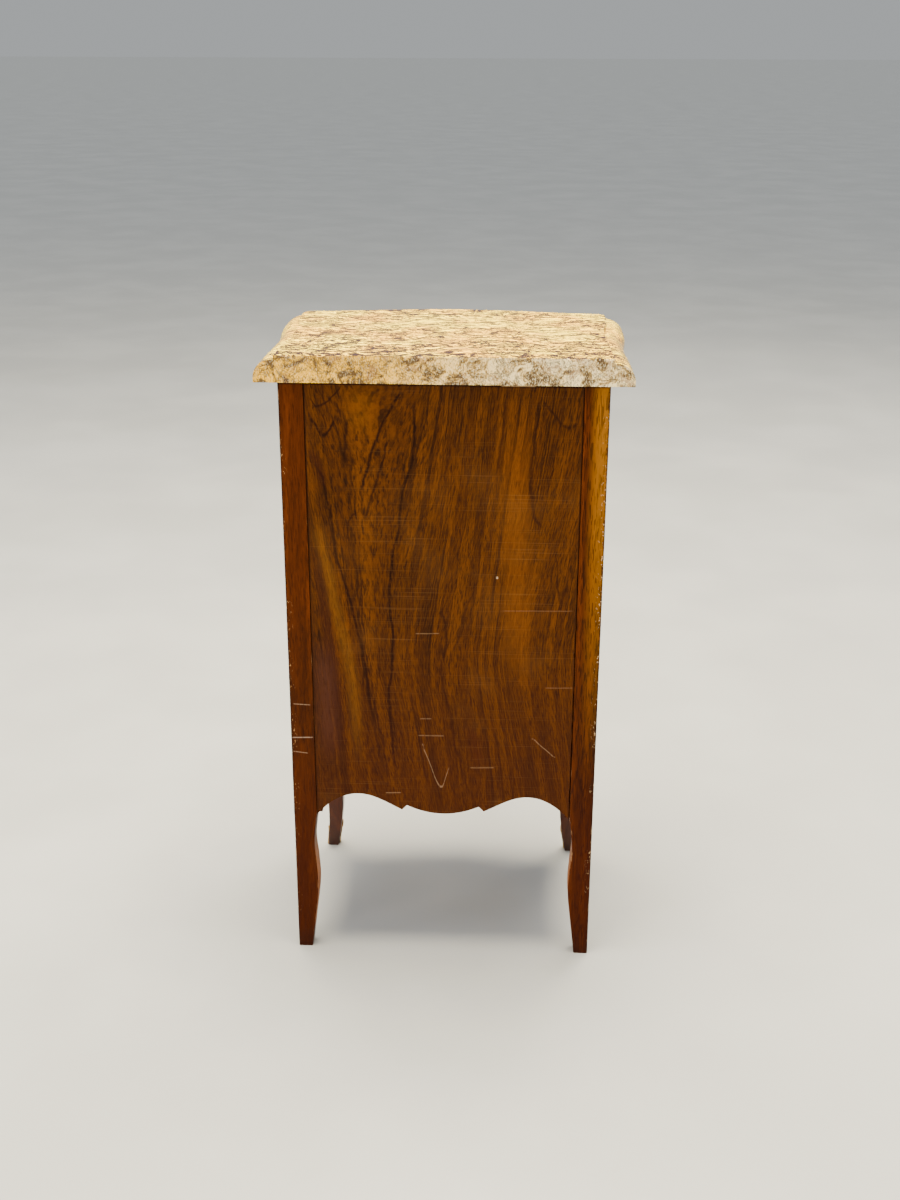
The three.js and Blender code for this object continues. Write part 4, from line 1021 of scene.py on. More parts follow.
# The figure's own features and the scratches that a viewer sees, as x and z on the back, in mm
BACK_STROKES = (
    Stroke(
        ((142.8, 568.6), (133.2, 512.2), (124.2, 464), (117.1, 428.6), (106.7, 376.2), (102, 321.3), (101.1, 246.3)),
        5.6, "#7c5018", 0.32, 1.1,
    ),
    Stroke(((90, 714), (89.5, 655)), 10, "#764506", 0.3, 1.4),
    Stroke(
        ((146.1, 535.7), (140.5, 494), (134.7, 457.7), (129.5, 393.4), (122.9, 331.1), (120.4, 270)),
        5, "#2a0e04", 0.65, 1.4,
    ),
    Stroke(((139.7, 420), (135.7, 340), (133, 250)), 9, "#4a2a1e", 0.6, 1.2),
    Stroke(((-79, 700), (-82, 520), (-85, 340)), 9, "#80460a", 0.35, 1.6),
    Stroke(
        ((147.4, 635.2), (132.8, 605.8), (127, 573.6), (122.4, 536.1), (117.5, 507.7), (109.1, 476.5), (99.7, 435.1),
        (90.3, 384.2), (84.5, 313.9)), 1.4, DARK_LINE_AND_SHADE, 0.95,
    ),
    Stroke(((149, 646), (137.5, 622), (131, 595)), 3.5, "#2c0f03", 0.6, 1.4),
    Stroke(((147.1, 678.9), (130.3, 655.7), (116.7, 676)), 1.4, DARK_LINE_AND_SHADE, 0.95),
    Stroke(((146.5, 697.7), (137, 689.1), (121.5, 698.1), (109.3, 711.4)), 0.9, DARK_LINE_AND_SHADE, 0.8, 1.2),
    Stroke(((106.9, 674), (107.9, 629), (101.6, 617.7)), 1.6, DARK_LINE_AND_SHADE, 0.7, 1.4),
    Stroke(
        ((30.5, 710.3), (31.9, 666.1), (34.3, 630.2), (44.5, 593.5), (51.6, 542.1), (58.8, 499.2), (60.4, 465.3),
        (57.7, 395), (62.9, 348), (58.9, 284.5), (56, 227.4)), 1.4, DARK_LINE_AND_SHADE, 1.0, 0.9,
    ),
    Stroke(((45.6, 710.1), (63.3, 676.8), (75.7, 647.6), (86.2, 611.1), (91, 592.7)), 1.4, DARK_LINE_AND_SHADE, 0.95),
    Stroke(((61.4, 654.5), (70.7, 618.2), (76.5, 595.2), (87.1, 560.3)), 1.1, DARK_LINE_AND_SHADE, 0.8, 1.2),
    Stroke(((95.9, 569.4), (105.1, 557.6), (107.8, 536.4)), 0.9, DARK_LINE_AND_SHADE, 0.7, 1.4),
    Stroke(
        ((2.4, 466.5), (-4.6, 413.8), (2.3, 378.6), (-8.3, 324), (-15.5, 278.5), (-25.1, 241.7), (-32.5, 211)),
        1, DARK_LINE_AND_SHADE, 0.6, 1.6,
    ),
    Stroke(((-41.5, 496.4), (-27.2, 459.8), (-14.9, 414), (-4.6, 378.8)), 1, DARK_LINE_AND_SHADE, 0.5, 1.6),
    Stroke(
        ((-103.8, 703.3), (-100.4, 668.1), (-98.8, 641.2), (-96.3, 609.5), (-100.5, 568.2), (-114.3, 549.8)),
        1.4, DARK_LINE_AND_SHADE, 0.75, 1.6,
    ),
    Stroke(((-106.1, 699), (-123.8, 677.3), (-134.9, 668.6), (-145.5, 673.2)), 1.2, DARK_LINE_AND_SHADE, 0.7, 1.6),
    Stroke(((-123.7, 528.9), (-132.2, 469.3), (-140.6, 488.7)), 1, DARK_LINE_AND_SHADE, 0.6, 1.6),
    Stroke(((-22.2, 706.6), (-9.5, 648.9), (-0.8, 608)), 0.9, DARK_LINE_AND_SHADE, 0.5, 1.8),
    Stroke(((-67.4, 702.8), (-61.9, 636.2), (-55.8, 608.9)), 0.9, DARK_LINE_AND_SHADE, 0.5, 1.8),
    Stroke(((-31.7, 312.9), (-39.1, 279.2), (-45.3, 250.2)), 4.5, "#3c1806", 0.5, 1.6),
)
BACK_SCRATCHES = (
    Stroke(((25.2, 283.2), (2.9, 227.9), (-7.9, 253.5)), 0.45, "#a08060", 0.45),
    Stroke(((-105.2, 295.2), (-131.6, 269.6)), 0.5, "#a98866", 0.35, 0.8),
    Stroke(((32.2, 424.6), (3.6, 425.1)), 0.5, "#a5815b", 0.32, 0.8),
    Stroke(((29.8, 294.9), (-2, 295.6)), 0.6, "#a08060", 0.28),
    Stroke(((27.3, 317), (13.2, 317.3)), 0.5, "#a08060", 0.28),
    Stroke(((-64.6, 454.5), (-149.5, 456)), 0.5, "#8f6b4a", 0.28, 0.8),
    Stroke(((-117.8, 359.8), (-151, 360.5)), 0.5, "#8f6b4a", 0.32, 0.8),
    Stroke(((68.7, 218.3), (49.5, 218.7)), 0.6, "#a5815b", 0.35, 0.8),
    Stroke(((-31.6, 254.1), (-61.2, 254.8)), 0.5, "#a5815b", 0.32, 0.8),
    Stroke(((-60.8, 496), (-60.9, 493)), 0.9, "#c9ab85", 0.8, 0.8),
    Stroke(((-61, 714.5), (-100, 714.5)), 1.1, "#c6a270", 0.7, 0.6),
)
POST_SCRATCHES = (
    Stroke(((179.5, 289.1), (153, 289.9)), 0.6, "#b39880", 0.6, 0.8),
    Stroke(((176, 333), (155, 332)), 0.5, "#a98a6c", 0.5, 0.8),
    Stroke(((178, 271), (160, 269)), 0.5, "#a98a6c", 0.5, 0.8),
)


class Finishes:
    """Every material of the chest, made once."""

    def __init__(self, outer_edge: float) -> None:
        """Builds the materials.

        Args:
            outer_edge: how far the rear posts' outer arrises stand from the middle.
        """
        self.marble = Marble().build()
        self.back = BackVeneer("figured_walnut_veneer", BACK_FIGURE, BACK_STROKES, BACK_SCRATCHES).build()
        self.post = PolishedWood("red_walnut_post", POST_FIGURE, outer_edge=outer_edge, strokes=POST_SCRATCHES).build()
        self.amber_post = PolishedWood(
            "amber_highlit_walnut_post", POST_FIGURE, wear="#d9b583", wear_amount=0.55, amber_highlight="#8a560a", outer_edge=outer_edge
        ).build()
        self.leg = PolishedWood("red_walnut_leg", POST_FIGURE, roughness=0.34, gloss=0.35, wear_amount=0.25).build()
        self.front_veneer = BandedVeneer("banded_walnut_front", FRONT_FIGURE, BAND_FIGURE).build()
        self.side_veneer = BandedVeneer("banded_walnut_side", SIDE_FIGURE, BAND_FIGURE, mirrored=False).build()
        self.rail = PolishedWood("crossbanded_walnut_rail", BAND_FIGURE, roughness=0.34, gloss=0.35).build()
        self.oak_side = PlainWood("oak_drawer_side", OAK_FIGURE, Grain.Y).build()
        self.oak_across = PlainWood("oak_drawer_board", OAK_FIGURE, Grain.X).build()
        self.beech_runner = PlainWood("beech_runner", BEECH_FIGURE, Grain.Y).build()
        self.beech_across = PlainWood("beech_board", BEECH_FIGURE, Grain.X).build()
        self.gilt = GiltBrass().build()
        self.keyhole = Plain("keyhole_shadow", "#0b0704", "#120c08", 0.8).build()
        self.iron = Plain("dark_iron", "#4a4440", "#2a2623", 0.5, 0.9).build()
        self.floor = Plain("pale_floor", "#868887", "#8c8e8d", 0.6, grain=333.33 * MM).build()


# Plan of the case


@dataclass(frozen=True)
class CasePlan:
    """The case's line in plan: serpentine sides and a bowed front, as the solids have them."""

    back_y: float
    lobe_half: float
    crown: float
    back_set_in: float = 2.5 * MM
    waist_set_in: float = 6.5 * MM
    waist_depth: float = 150 * MM
    lobe_depth: float = 228 * MM
    fall: float = 24 * MM
    wave: float = 210 * MM
    corner_radius: float = 8 * MM
    cant_width: float = 15 * MM
    cant_depth: float = 17.3 * MM
    cant_round: float = 1.5 * MM
    leg_height: float = 186 * MM
    post_width: float = 34 * MM
    frame_depth: float = 230 * MM
    reach: float = 0.5 * MM

    def half_width(self, depth: Array) -> Array:
        """Half width at a depth: it eases from the back in to the waist, and out again to the lobes.

        Args:
            depth: depths from the back plane.

        Returns:
            The half widths.
        """
        waist = self.lobe_half - self.waist_set_in
        inwards = ease(np.clip(depth / self.waist_depth, 0, 1))
        behind = self.lobe_half - self.back_set_in + (self.back_set_in - self.waist_set_in) * inwards
        outwards = ease(np.clip((depth - self.waist_depth) / (self.lobe_depth - self.waist_depth), 0, 1))
        return np.where(depth <= self.waist_depth, behind, waist + self.waist_set_in * outwards)

    def front(self, x: Array) -> Array:
        """Depth of the bowed front: the crown less a fall that eases out to each side."""
        return self.crown - self.fall * ease(np.abs(x) / self.wave)

    def front_slope(self, x: Array) -> Array:
        """How fast the front's depth grows with x, from two places close by."""
        return (self.front(x + self.reach) - self.front(x - self.reach)) / (2 * self.reach)

    def front_turn(self, x: float) -> float:
        """Angle by which the front at x is turned about the upright."""
        return math.atan(-self.front_slope(x))

    def cant(self) -> tuple[float, float, Array]:
        """The canted corner of the front.

        Returns:
            The x and the depth at which it meets the front, and its middle, which swells out a little.
        """
        x = self.lobe_half - self.cant_width
        depth, swell = float(self.front(x)), self.cant_round
        return x, depth, np.array([(self.lobe_half + x) / 2 + swell, depth - self.cant_depth / 2 + swell])

    def at(self, x: Array, depth: Array, height: Array) -> Array:
        """Points in the scene from x, depth and height."""
        return joined(x, self.back_y - depth, height)

    def seated(self, local: Array, x: float, height: float) -> Array:
        """Puts points given across, outwards and up on the bowed front at x and a height.

        A point across by a sits on the tangent at x, let back by what the bow falls away there.

        Args:
            local: points as across, outwards and up.
            x: where the middle of the piece sits.
            height: its height.

        Returns:
            The points in the scene.
        """
        angle = self.front_turn(x)
        foot = x + local[..., 0] * math.cos(angle)
        sunk = (self.front(x) - self.front(foot)) * math.cos(angle) - local[..., 0] * math.sin(angle)
        flat = joined(local[..., 0], -(local[..., 1] - np.maximum(sunk, 0)), local[..., 2])
        return turned(flat, angle) + np.array([x, self.back_y - float(self.front(x)), height])


@dataclass
class Assembly:
    """A group of pieces that follow the case's line and wear the chest's finishes."""

    plan: CasePlan
    finishes: Finishes


@dataclass(frozen=True)
class Scallop:
    """A scalloped lower edge: a wide arch by each leg, a cusp and a shallow lobe in the middle."""

    arch: float
    rise: float
    cusp: float
    cusp_rise: float
    step: float
    step_rise: float
    lobe_rise: float
    points: int = 16

    def line(self, half_span: float, foot: float) -> Array:
        """The edge's right half, from the middle to the leg: three Bezier curves in a row.

        Args:
            half_span: from the middle to the leg.
            foot: height at which the edge springs from the leg.

        Returns:
            The points as across and height, in order of across.
        """
        rise, cusp = self.rise, self.cusp
        top = half_span - self.arch
        fall = top - cusp
        middle = (rise + self.cusp_rise) / 2
        spring, shallow = (half_span - self.arch * 0.15, rise * 0.36), (top + self.arch * 0.45, rise)
        flank = [(half_span, 0), spring, shallow, (top, rise)]
        shoulder = [(top, rise), (top - fall * 0.36, rise), (cusp + fall * 0.38, middle), (cusp, self.cusp_rise)]
        lobe = [(self.step, self.step_rise), (self.step / 2, self.lobe_rise), (0, self.lobe_rise)]
        parts = [bezier(np.array(part, float), self.points) for part in (flank, shoulder, lobe)]
        return np.vstack([parts[0], parts[1][1:], parts[2]])[::-1] + np.array([0, foot])


WIDE_SCALLOP = Scallop(50 * MM, 30 * MM, 49 * MM, 9.5 * MM, 43 * MM, 15.7 * MM, 5.3 * MM)
SIDE_SCALLOP = Scallop(36 * MM, 24 * MM, 30 * MM, 9 * MM, 25 * MM, 14 * MM, 6 * MM)


def end_columns(half: float, arris: float) -> Array:
    """Places of the last columns of a board, which carry its rounded end."""
    return half - arris * np.array([0.6, 0.25, 0.0])


def columns(half: float, line: Array, pitch: float, arris: float) -> tuple[Array, Array]:
    """Places the columns of a board that hangs from a straight top to a scalloped edge.

    Args:
        half: half the board's width.
        line: the right half of its lower edge, as across and height.
        pitch: the widest step between columns.
        arris: radius of the board's end arrises.

    Returns:
        Each column's place from the middle, and its lower height.
    """
    even = np.linspace(0, half - arris, int(half / pitch) + 1)
    inside = line[:, 0][line[:, 0] < half - arris]
    right = np.unique(np.round(np.concatenate([even, inside, end_columns(half, arris)]), 7))
    low = np.interp(right, line[:, 0], line[:, 1])
    return np.concatenate([-right[:0:-1], right]), np.concatenate([low[:0:-1], low])


def stacked(corners: list[tuple]) -> Array:
    """Puts corners, each given as two coordinates for every section, into sections by corners by coordinates."""
    return np.stack([joined(*corner) for corner in corners], axis=1)


def board(
    across: Array, low: Array, high: float, outer: Array, inner: Array, arris: float, rows: int = 0
) -> tuple[Array, Array]:
    """Works out a board's sections, one for each column, with all its arrises rounded.

    A section is the rectangle from low to high and outer to inner with its corners rounded; towards
    each end it shrinks by r - sqrt(r^2 - (r - d)^2), where d is the distance from the end.

    Args:
        across: the columns' places.
        low: lower height of each column.
        high: the top's height.
        outer: each column's outer face.
        inner: each column's inner face.
        arris: radius of the arrises.
        rows: points added along each face.

    Returns:
        Sections as height and face, and how near each point is to an arris.
    """
    end = np.minimum(across - across[0], across[-1] - across)
    short = np.clip(arris - end, 0, arris)
    shrink = arris - np.sqrt(np.maximum(arris**2 - short**2, 0))
    way = np.sign(np.mean(inner - outer))
    lower, upper = low + shrink, high - shrink
    outside, inside = outer + way * shrink, inner - way * shrink
    return rounded(stacked([(lower, outside), (upper, outside), (upper, inside), (lower, inside)]), arris, 3, rows)


def veneered(across: Array, sections: Array, low: Array, high: float, thick: Array, near: Array) -> dict:
    """What the banded veneer reads: places from the middle, and distances from the borders.

    Args:
        across: each column's place from the middle.
        sections: each point's height and face.
        low: each column's lower height.
        high: the top's height.
        thick: how far each point lies behind the face.
        near: how near each point is to an arris.

    Returns:
        The attributes arris, border and veneer.
    """
    x, height = np.broadcast_to(across[:, None], sections.shape[:2]), sections[..., 0]
    edge = np.minimum(x - across[0], across[-1] - x)
    border = joined(edge, height - low[:, None], high - height)
    veneer = joined(x, thick, height - (float(np.max(low)) + high) / 2)
    return {"arris": near, "border": border, "veneer": veneer}


# Pieces of the case


@dataclass
class MarbleTop(Assembly):
    """The marble slab: its profile carried along the case's line on three sides, its back sawn straight."""

    foot: float
    overhang: float = 25.8 * MM
    back_lap: float = 3 * MM
    nose: float = 4.5 * MM
    ovolo: float = 20.8 * MM
    step_height: float = 5 * MM
    step_setback: float = 2 * MM
    step_round: float = 1.5 * MM
    thickness: float = 30 * MM
    back_points: int = 260
    saw_marks: float = 0.22 * MM
    saw_pitch: float = 2.2 * MM
    arris_reach: float = 1.1 * MM
    # Broken spots on the back arris: place across in metres, then width and depth in mm
    chips: tuple = (
        (0.024, 2.6, 1.1), (-0.137, 5.0, 1.5), (0.132, 3.5, 1.2),
        (0.17, 3.0, 1.3), (-0.175, 2.5, 1.0), (-0.06, 1.6, 0.7),
    )

    def line(self) -> tuple[Array, Array, Array]:
        """The right half of the case's line, from the back to the middle of the front.

        Returns:
            x, depth and the outward normals.
        """
        plan = self.plan
        centre = plan.lobe_half - plan.corner_radius
        turn = math.pi / 2 - abs(plan.front_turn(centre))
        end_x = centre + plan.corner_radius * math.cos(turn)
        centre_depth = float(plan.front(end_x)) - plan.corner_radius * math.sin(turn)
        side = np.linspace(-self.back_lap, centre_depth, 72)
        slope = (plan.half_width(side + plan.reach) - plan.half_width(side - plan.reach)) / (2 * plan.reach)
        slope[side <= 0] = 0
        arc = np.linspace(0, turn, 16)[1:]
        front = np.linspace(end_x, 0, 64)[1:]
        front_angle = np.arctan2(1, -plan.front_slope(front))
        front_angle[-1] = math.pi / 2
        angle = np.concatenate([np.arctan2(-slope, 1), arc, front_angle])
        x = np.concatenate([plan.half_width(side), centre + plan.corner_radius * np.cos(arc), front])
        depth = np.concatenate([side, centre_depth + plan.corner_radius * np.sin(arc), plan.front(front)])
        return x, depth, joined(np.cos(angle), np.sin(angle))

    def step(self) -> float:
        """How far the upper step overhangs the case."""
        return self.overhang - self.ovolo - self.step_setback

    def profile(self) -> Array:
        """The moulding from the underside up: nose, quarter round, ledge, rounded step, top.

        Returns:
            Overhang and height of each point.
        """
        quarter, arc = np.linspace(0, math.pi / 2, 22), np.linspace(0, math.pi / 2, 6)
        high, small = self.thickness, self.step_round
        ovolo_height = high - self.nose - self.step_height
        ovolo = self.overhang - self.ovolo + self.ovolo * np.cos(quarter)
        rise = joined(ovolo, self.nose + ovolo_height * np.sin(quarter))
        corner = joined(self.step() - small * (1 - np.cos(arc)), high - small * (1 - np.sin(arc)))
        under = [(self.overhang - 6 * MM, 0), (self.overhang - 0.5 * MM, 0), (self.overhang, 0.5 * MM)]
        top = [(self.step() - small - inwards, high) for inwards in (1.2 * MM, 5 * MM)]
        return np.vstack([under, rise, [(self.step(), high - self.step_height)], corner, top])

    def build(self) -> None:
        """Makes the slab."""
        x, depth, normals = self.line()
        profile = self.profile()
        reach = profile[:, 0][:, None]
        right = joined(x + normals[:, 0] * reach, depth + normals[:, 1] * reach)
        left = right[:, -2::-1] * np.array([-1, 1])
        inset = np.maximum(self.step() - self.step_round - profile[:, 0], 0) * (profile[:, 1] > 0)
        behind = (-self.back_lap + inset)[:, None]
        for half in (right, left):
            half[..., 1] = np.maximum(half[..., 1], behind)
        back_x = right[:, 0, 0][:, None] * np.linspace(-1, 1, self.back_points + 2)[1:-1]
        back = joined(back_x, np.broadcast_to(behind, back_x.shape))
        rings = np.concatenate([right, left, back], axis=1)
        across = rings[..., 0]
        broken = sum(deep * MM * bump(across, at, width * MM) for at, width, deep in self.chips)
        broken += self.saw_marks * np.abs(ripple(across.ravel(), self.saw_pitch, 5).reshape(broken.shape))
        on_back = np.arange(rings.shape[1]) >= rings.shape[1] - self.back_points
        arris = bump(profile[:, 1], self.thickness, self.arris_reach) * (inset == 0)
        drop = broken * arris[:, None] * on_back
        height = (self.foot + profile[:, 1])[:, None] - drop * 0.8
        skin = loft(self.plan.at(across, rings[..., 1] + drop, height), {"chip": np.clip(drop / (0.9 * MM), 0, 1)})
        place(skinned("marble_slab", [skin], self.finishes.marble), "marble_top", "marble")


@dataclass
class Legs(Assembly):
    """The four posts with their cabriole legs."""

    top: float
    rear_width: float = 27.5 * MM
    rear_depth: float = 28 * MM
    lip: float = 6 * MM
    rebate: float = 8.9 * MM
    flank: float = 13.1 * MM
    arris: float = 1.7 * MM
    wear: float = 0.25 * MM
    wear_pitch: float = 18 * MM
    # In mm: height and width of the rear leg; height, inset, setback and width of the front one
    rear_rows: tuple = ((0, 17), (38, 21.5), (84, 26.5), (118, 25.6), (150, 23.6), (186, 27.5))
    front_rows: tuple = (
        (0, 9.5, 2.8, 14), (30, 11.8, 6.5, 16.5), (70, 12.6, 9.5, 20),
        (110, 9.5, 6.5, 22.5), (150, 4, 2, 27), (186, 0, 0, 34),
    )
    post_radii: tuple = (0.6, 1.7, 1.7, 0.6, 0.6, 0.4)
    front_radii: tuple = (1.2, 1.6, 2.2, 3.2, 2.2, 1.4)

    def rear(self, side: float) -> list[Skin]:
        """A rear leg, square in section, and the rebated post above it.

        Args:
            side: -1 for the left, 1 for the right.

        Returns:
            Two skins that meet where the scalloped edge springs.
        """
        plan = self.plan
        rows = smooth_rows(np.array(self.rear_rows) * MM, 44)
        width = rows[:, 1]
        depth = width * self.rear_depth / self.rear_width
        outer = plan.half_width(np.zeros(1))[0]
        section = [(outer - width, 0), (outer + 0 * width, 0), (plan.half_width(depth), depth), (outer - width, depth)]
        ring, near = rounded(stacked(section), self.arris, 4, 1)
        heights = np.broadcast_to(rows[:, 0][:, None], ring.shape[:2])
        inside = (ring[..., 0] < (outer - width)[:, None] + 0.2 * MM) * ramp(heights, 20 * MM, 45 * MM)
        values = {"arris": near, "inner": inside * ramp(heights, 165 * MM, 120 * MM)}
        leg = loft(plan.at(ring[..., 0] * side, ring[..., 1], heights), values)
        inner = outer - self.rear_width
        rebated = inner - self.lip
        section = [
            (inner, 0), (outer, 0), (float(plan.half_width(self.rear_depth)), self.rear_depth),
            (rebated, self.rear_depth), (rebated, self.rebate), (inner, self.rebate),
        ]
        foot, top = plan.leg_height, self.top
        levels = np.array([foot, foot + 4 * MM, *np.linspace(0.25, 0.7, 20), top - 4 * MM, top])
        post_corners = np.repeat(np.array(section)[None], len(levels), axis=0)
        ring, near = rounded(post_corners, np.array(self.post_radii) * MM, 4, 1)
        worn = ripple(levels, self.wear_pitch, 11 if side > 0 else 23)[:, None] * near * self.wear
        ring = ring - worn[..., None] * np.array([1.0, -0.3])
        return [leg, loft(plan.at(ring[..., 0] * side, ring[..., 1], levels[:, None]), {"arris": near})]

    def front_rings(self, rows: Array, between: int = 1) -> tuple[Array, Array]:
        """The front post's rounded section drawn in, moved back and narrowed row by row.

        Args:
            rows: height, inset, setback and width of each row.
            between: points added along each side.

        Returns:
            The rings as x and depth, and how near each point is to an arris.
        """
        plan = self.plan
        cant_front, corner, cant_middle = plan.cant()
        frame_back = corner - plan.cant_depth - self.flank
        inner = plan.lobe_half - plan.post_width
        section = np.array(
            [
                (inner, frame_back),
                (float(plan.half_width(frame_back)), frame_back),
                (plan.lobe_half, corner - plan.cant_depth),
                cant_middle,
                (cant_front, corner),
                (inner, float(plan.front(inner))),
            ]
        )
        hub = np.array([plan.lobe_half, corner])
        scale = (rows[:, 3] / plan.post_width)[:, None, None]
        corners = hub - joined(rows[:, 1], rows[:, 2])[:, None] + (section - hub)[None] * scale
        return rounded(corners, np.array(self.front_radii) * MM, 3, between)

    def front(self, side: float) -> list[Skin]:
        """A front post and leg in one skin.

        Args:
            side: -1 for the left, 1 for the right.

        Returns:
            The skin, in a list.
        """
        rows = smooth_rows(np.array(self.front_rows) * MM, 48)
        above = np.tile(rows[-1], (3, 1))
        above[:, 0] = (self.plan.leg_height + 5 * MM, self.top - 5 * MM, self.top)
        rows = np.vstack([rows, above])
        ring, near = self.front_rings(rows)
        return [loft(self.plan.at(ring[..., 0] * side, ring[..., 1], rows[:, 0][:, None]), {"arris": near})]

    def build(self) -> None:
        """Makes the four legs."""
        for label, side in SIDES.items():
            dress = self.finishes.amber_post if side < 0 else self.finishes.post
            kinds = ("rear", self.rear(side), dress), ("front", self.front(side), self.finishes.leg)
            for end, skins, material in kinds:
                place(skinned(f"{end}_{label}_post", skins, material), f"{end}_{label}_leg", "post_walnut")


@dataclass
class Boards(Assembly):
    """The veneered boards of the case: back, sides and apron."""

    top: float
    panel_half: float = 151.7 * MM
    panel_recess: float = 0.6 * MM
    panel_thickness: float = 8 * MM
    side_thickness: float = 14 * MM
    side_rear: float = 28 * MM
    apron_half: float = 148 * MM
    apron_thickness: float = 20 * MM
    apron_top: float = 238 * MM
    rail_height: float = 12 * MM
    arris: float = 0.7 * MM
    soft_arris: float = 0.5 * MM
    ragged: float = 1.3 * MM
    ragged_pitch: float = 5 * MM

    def back(self) -> Skin:
        """The back panel, its right-hand edge (seen from behind) a little broken below the middle.

        Returns:
            The skin.
        """
        line = WIDE_SCALLOP.line(self.panel_half, self.plan.leg_height)
        across, low = columns(self.panel_half, line, 6 * MM, self.arris)
        outer = np.full_like(across, self.panel_recess)
        sections, near = board(across, low, self.top, outer, outer + self.panel_thickness, self.arris, 120)
        x, height = np.broadcast_to(across[:, None], sections.shape[:2]), sections[..., 0]
        broken = np.abs(ripple(height.ravel(), self.ragged_pitch, 31).reshape(height.shape)) * self.ragged
        x = x + broken * ramp(height, 0.56, 0.46) * (x < -self.panel_half + 1.2 * MM)
        return loft(self.plan.at(x, sections[..., 1], height), {"arris": near})

    def side(self, side: float) -> Skin:
        """A side panel: its outer face follows the case's line, its lower edge is scalloped.

        Args:
            side: -1 for the left, 1 for the right.

        Returns:
            The skin.
        """
        middle, half = (self.side_rear + self.plan.frame_depth) / 2, (self.plan.frame_depth - self.side_rear) / 2
        across, low = columns(half, SIDE_SCALLOP.line(half, self.plan.leg_height), 4 * MM, self.arris)
        face = np.zeros_like(across)
        sections, near = board(across, low, self.top, face, face + self.side_thickness, self.arris)
        depth = np.broadcast_to((middle + across)[:, None], sections.shape[:2])
        x = side * (self.plan.half_width(depth) - sections[..., 1])
        values = veneered(across, sections, low, self.top, sections[..., 1], near)
        return loft(self.plan.at(x, depth, sections[..., 0]), values)

    def apron(self) -> Skin:
        """The apron: a bowed board with a rail behind its top, as one L-shaped section.

        Returns:
            The skin.
        """
        line = WIDE_SCALLOP.line(self.apron_half, self.plan.leg_height)
        across, low = columns(self.apron_half, line, 4 * MM, self.arris)
        face = self.plan.front(across)
        behind = face - self.apron_thickness
        high, under = self.apron_top, self.apron_top - self.rail_height
        rear = np.full_like(across, self.plan.frame_depth)
        section = [(low, face), (high, face), (high, rear), (under, rear), (under, behind), (low, behind)]
        sections, near = rounded(stacked(section), self.arris, 3)
        values = veneered(across, sections, low, high, face[:, None] - sections[..., 1], near)
        return loft(self.plan.at(across[:, None], sections[..., 1], sections[..., 0]), values)

    def build(self) -> None:
        """Makes the back, the sides, the apron and the frame's plain boards."""
        looks = self.finishes
        place(skinned("back_board", [self.back()], looks.back), "back_panel", "back_veneer")
        place(skinned("apron_board", [self.apron()], looks.rail), "front_apron", "walnut_veneer")
        for label, side in SIDES.items():
            made = skinned(f"{label}_side_board", [self.side(side)], looks.side_veneer)
            place(made, f"{label}_side_panel", "walnut_veneer")
            for level in LEVELS:
                place_copy(looks.beech_runner, self.soft_arris, f"{level}_{label}_runner", "frame_wood")
        for node in ("lower_drawer_rail", "upper_drawer_rail", "top_front_rail"):
            place_copy(looks.rail, self.soft_arris, node, "walnut_veneer")
        for node in ("top_rear_rail", "bottom_board"):
            place_copy(looks.beech_across, self.soft_arris, node, "frame_wood")


# Gilt mounts


def round_about(count: int) -> Array:
    """Angles evenly spaced round a full turn, as one row."""
    return np.linspace(0, 2 * math.pi, count, endpoint=False)[None, :]


def ball(centre: tuple, radius: float, squash: float = 0.8, rings: int = 9, around: int = 14) -> Array:
    """Rings of a ball or flattened boss: radius x (sin v cos u, squash x cos v, sin v sin u) about y.

    Args:
        centre: its middle, as across, outwards and up.
        radius: its radius.
        squash: how deep it is for its width.
        rings: how many rings.
        around: points of a ring.

    Returns:
        The rings.
    """
    v = np.linspace(0.06, math.pi - 0.06, rings)[:, None]
    u = round_about(around)
    points = joined(np.sin(v) * np.cos(u), squash * np.cos(v), np.sin(v) * np.sin(u))
    return points * radius + np.array(centre)


def turned_stem(centre: tuple, profile: Array, around: int = 16) -> Array:
    """Rings of a turned stem that stands outwards: (radius cos u, distance out, radius sin u).

    Args:
        centre: its foot, as across, outwards and up.
        profile: rows of a radius and a distance out.
        around: points of a ring.

    Returns:
        The rings.
    """
    u = round_about(around)
    radius, out = profile[:, 0][:, None], profile[:, 1][:, None]
    return joined(radius * np.cos(u), out, radius * np.sin(u)) + np.array(centre)


def polar_reach(outline: Array, angle: Array) -> Array:
    """How far a star-shaped outline reaches from the origin in each direction.

    Args:
        outline: its corners.
        angle: the directions.

    Returns:
        The distances, read between points spaced along the outline.
    """
    dense = np.vstack([np.linspace(a, b, 12, endpoint=False) for a, b in zip(outline, np.roll(outline, -1, axis=0))])
    at = np.arctan2(dense[:, 1], dense[:, 0]) % (2 * math.pi)
    order = np.argsort(at)
    return np.interp(angle % (2 * math.pi), at[order], np.hypot(dense[:, 0], dense[:, 1])[order], period=2 * math.pi)


def relieved(rings: Array, relief: Array | float = 1.0, ring_shaped: bool = False) -> Skin:
    """Skins rings of a casting, with its relief for the gilding: 0 in the hollows, 1 on the high parts."""
    return loft(rings, {"relief": np.broadcast_to(relief, rings.shape[:2])}, ring_shaped)


def with_seat(face: Array, shine: Array, level: float) -> tuple[Array, Array]:
    """Carries a casting's edge back to its seat.

    Args:
        face: its rings, as across, outwards and up.
        shine: their relief.
        level: how far out the seat lies.

    Returns:
        The rings with one more on the seat, and their relief, with none there.
    """
    seat = face[-1:].copy()
    seat[..., 1] = level
    return np.concatenate([face, seat]), np.concatenate([shine, np.zeros_like(shine[-1:])])


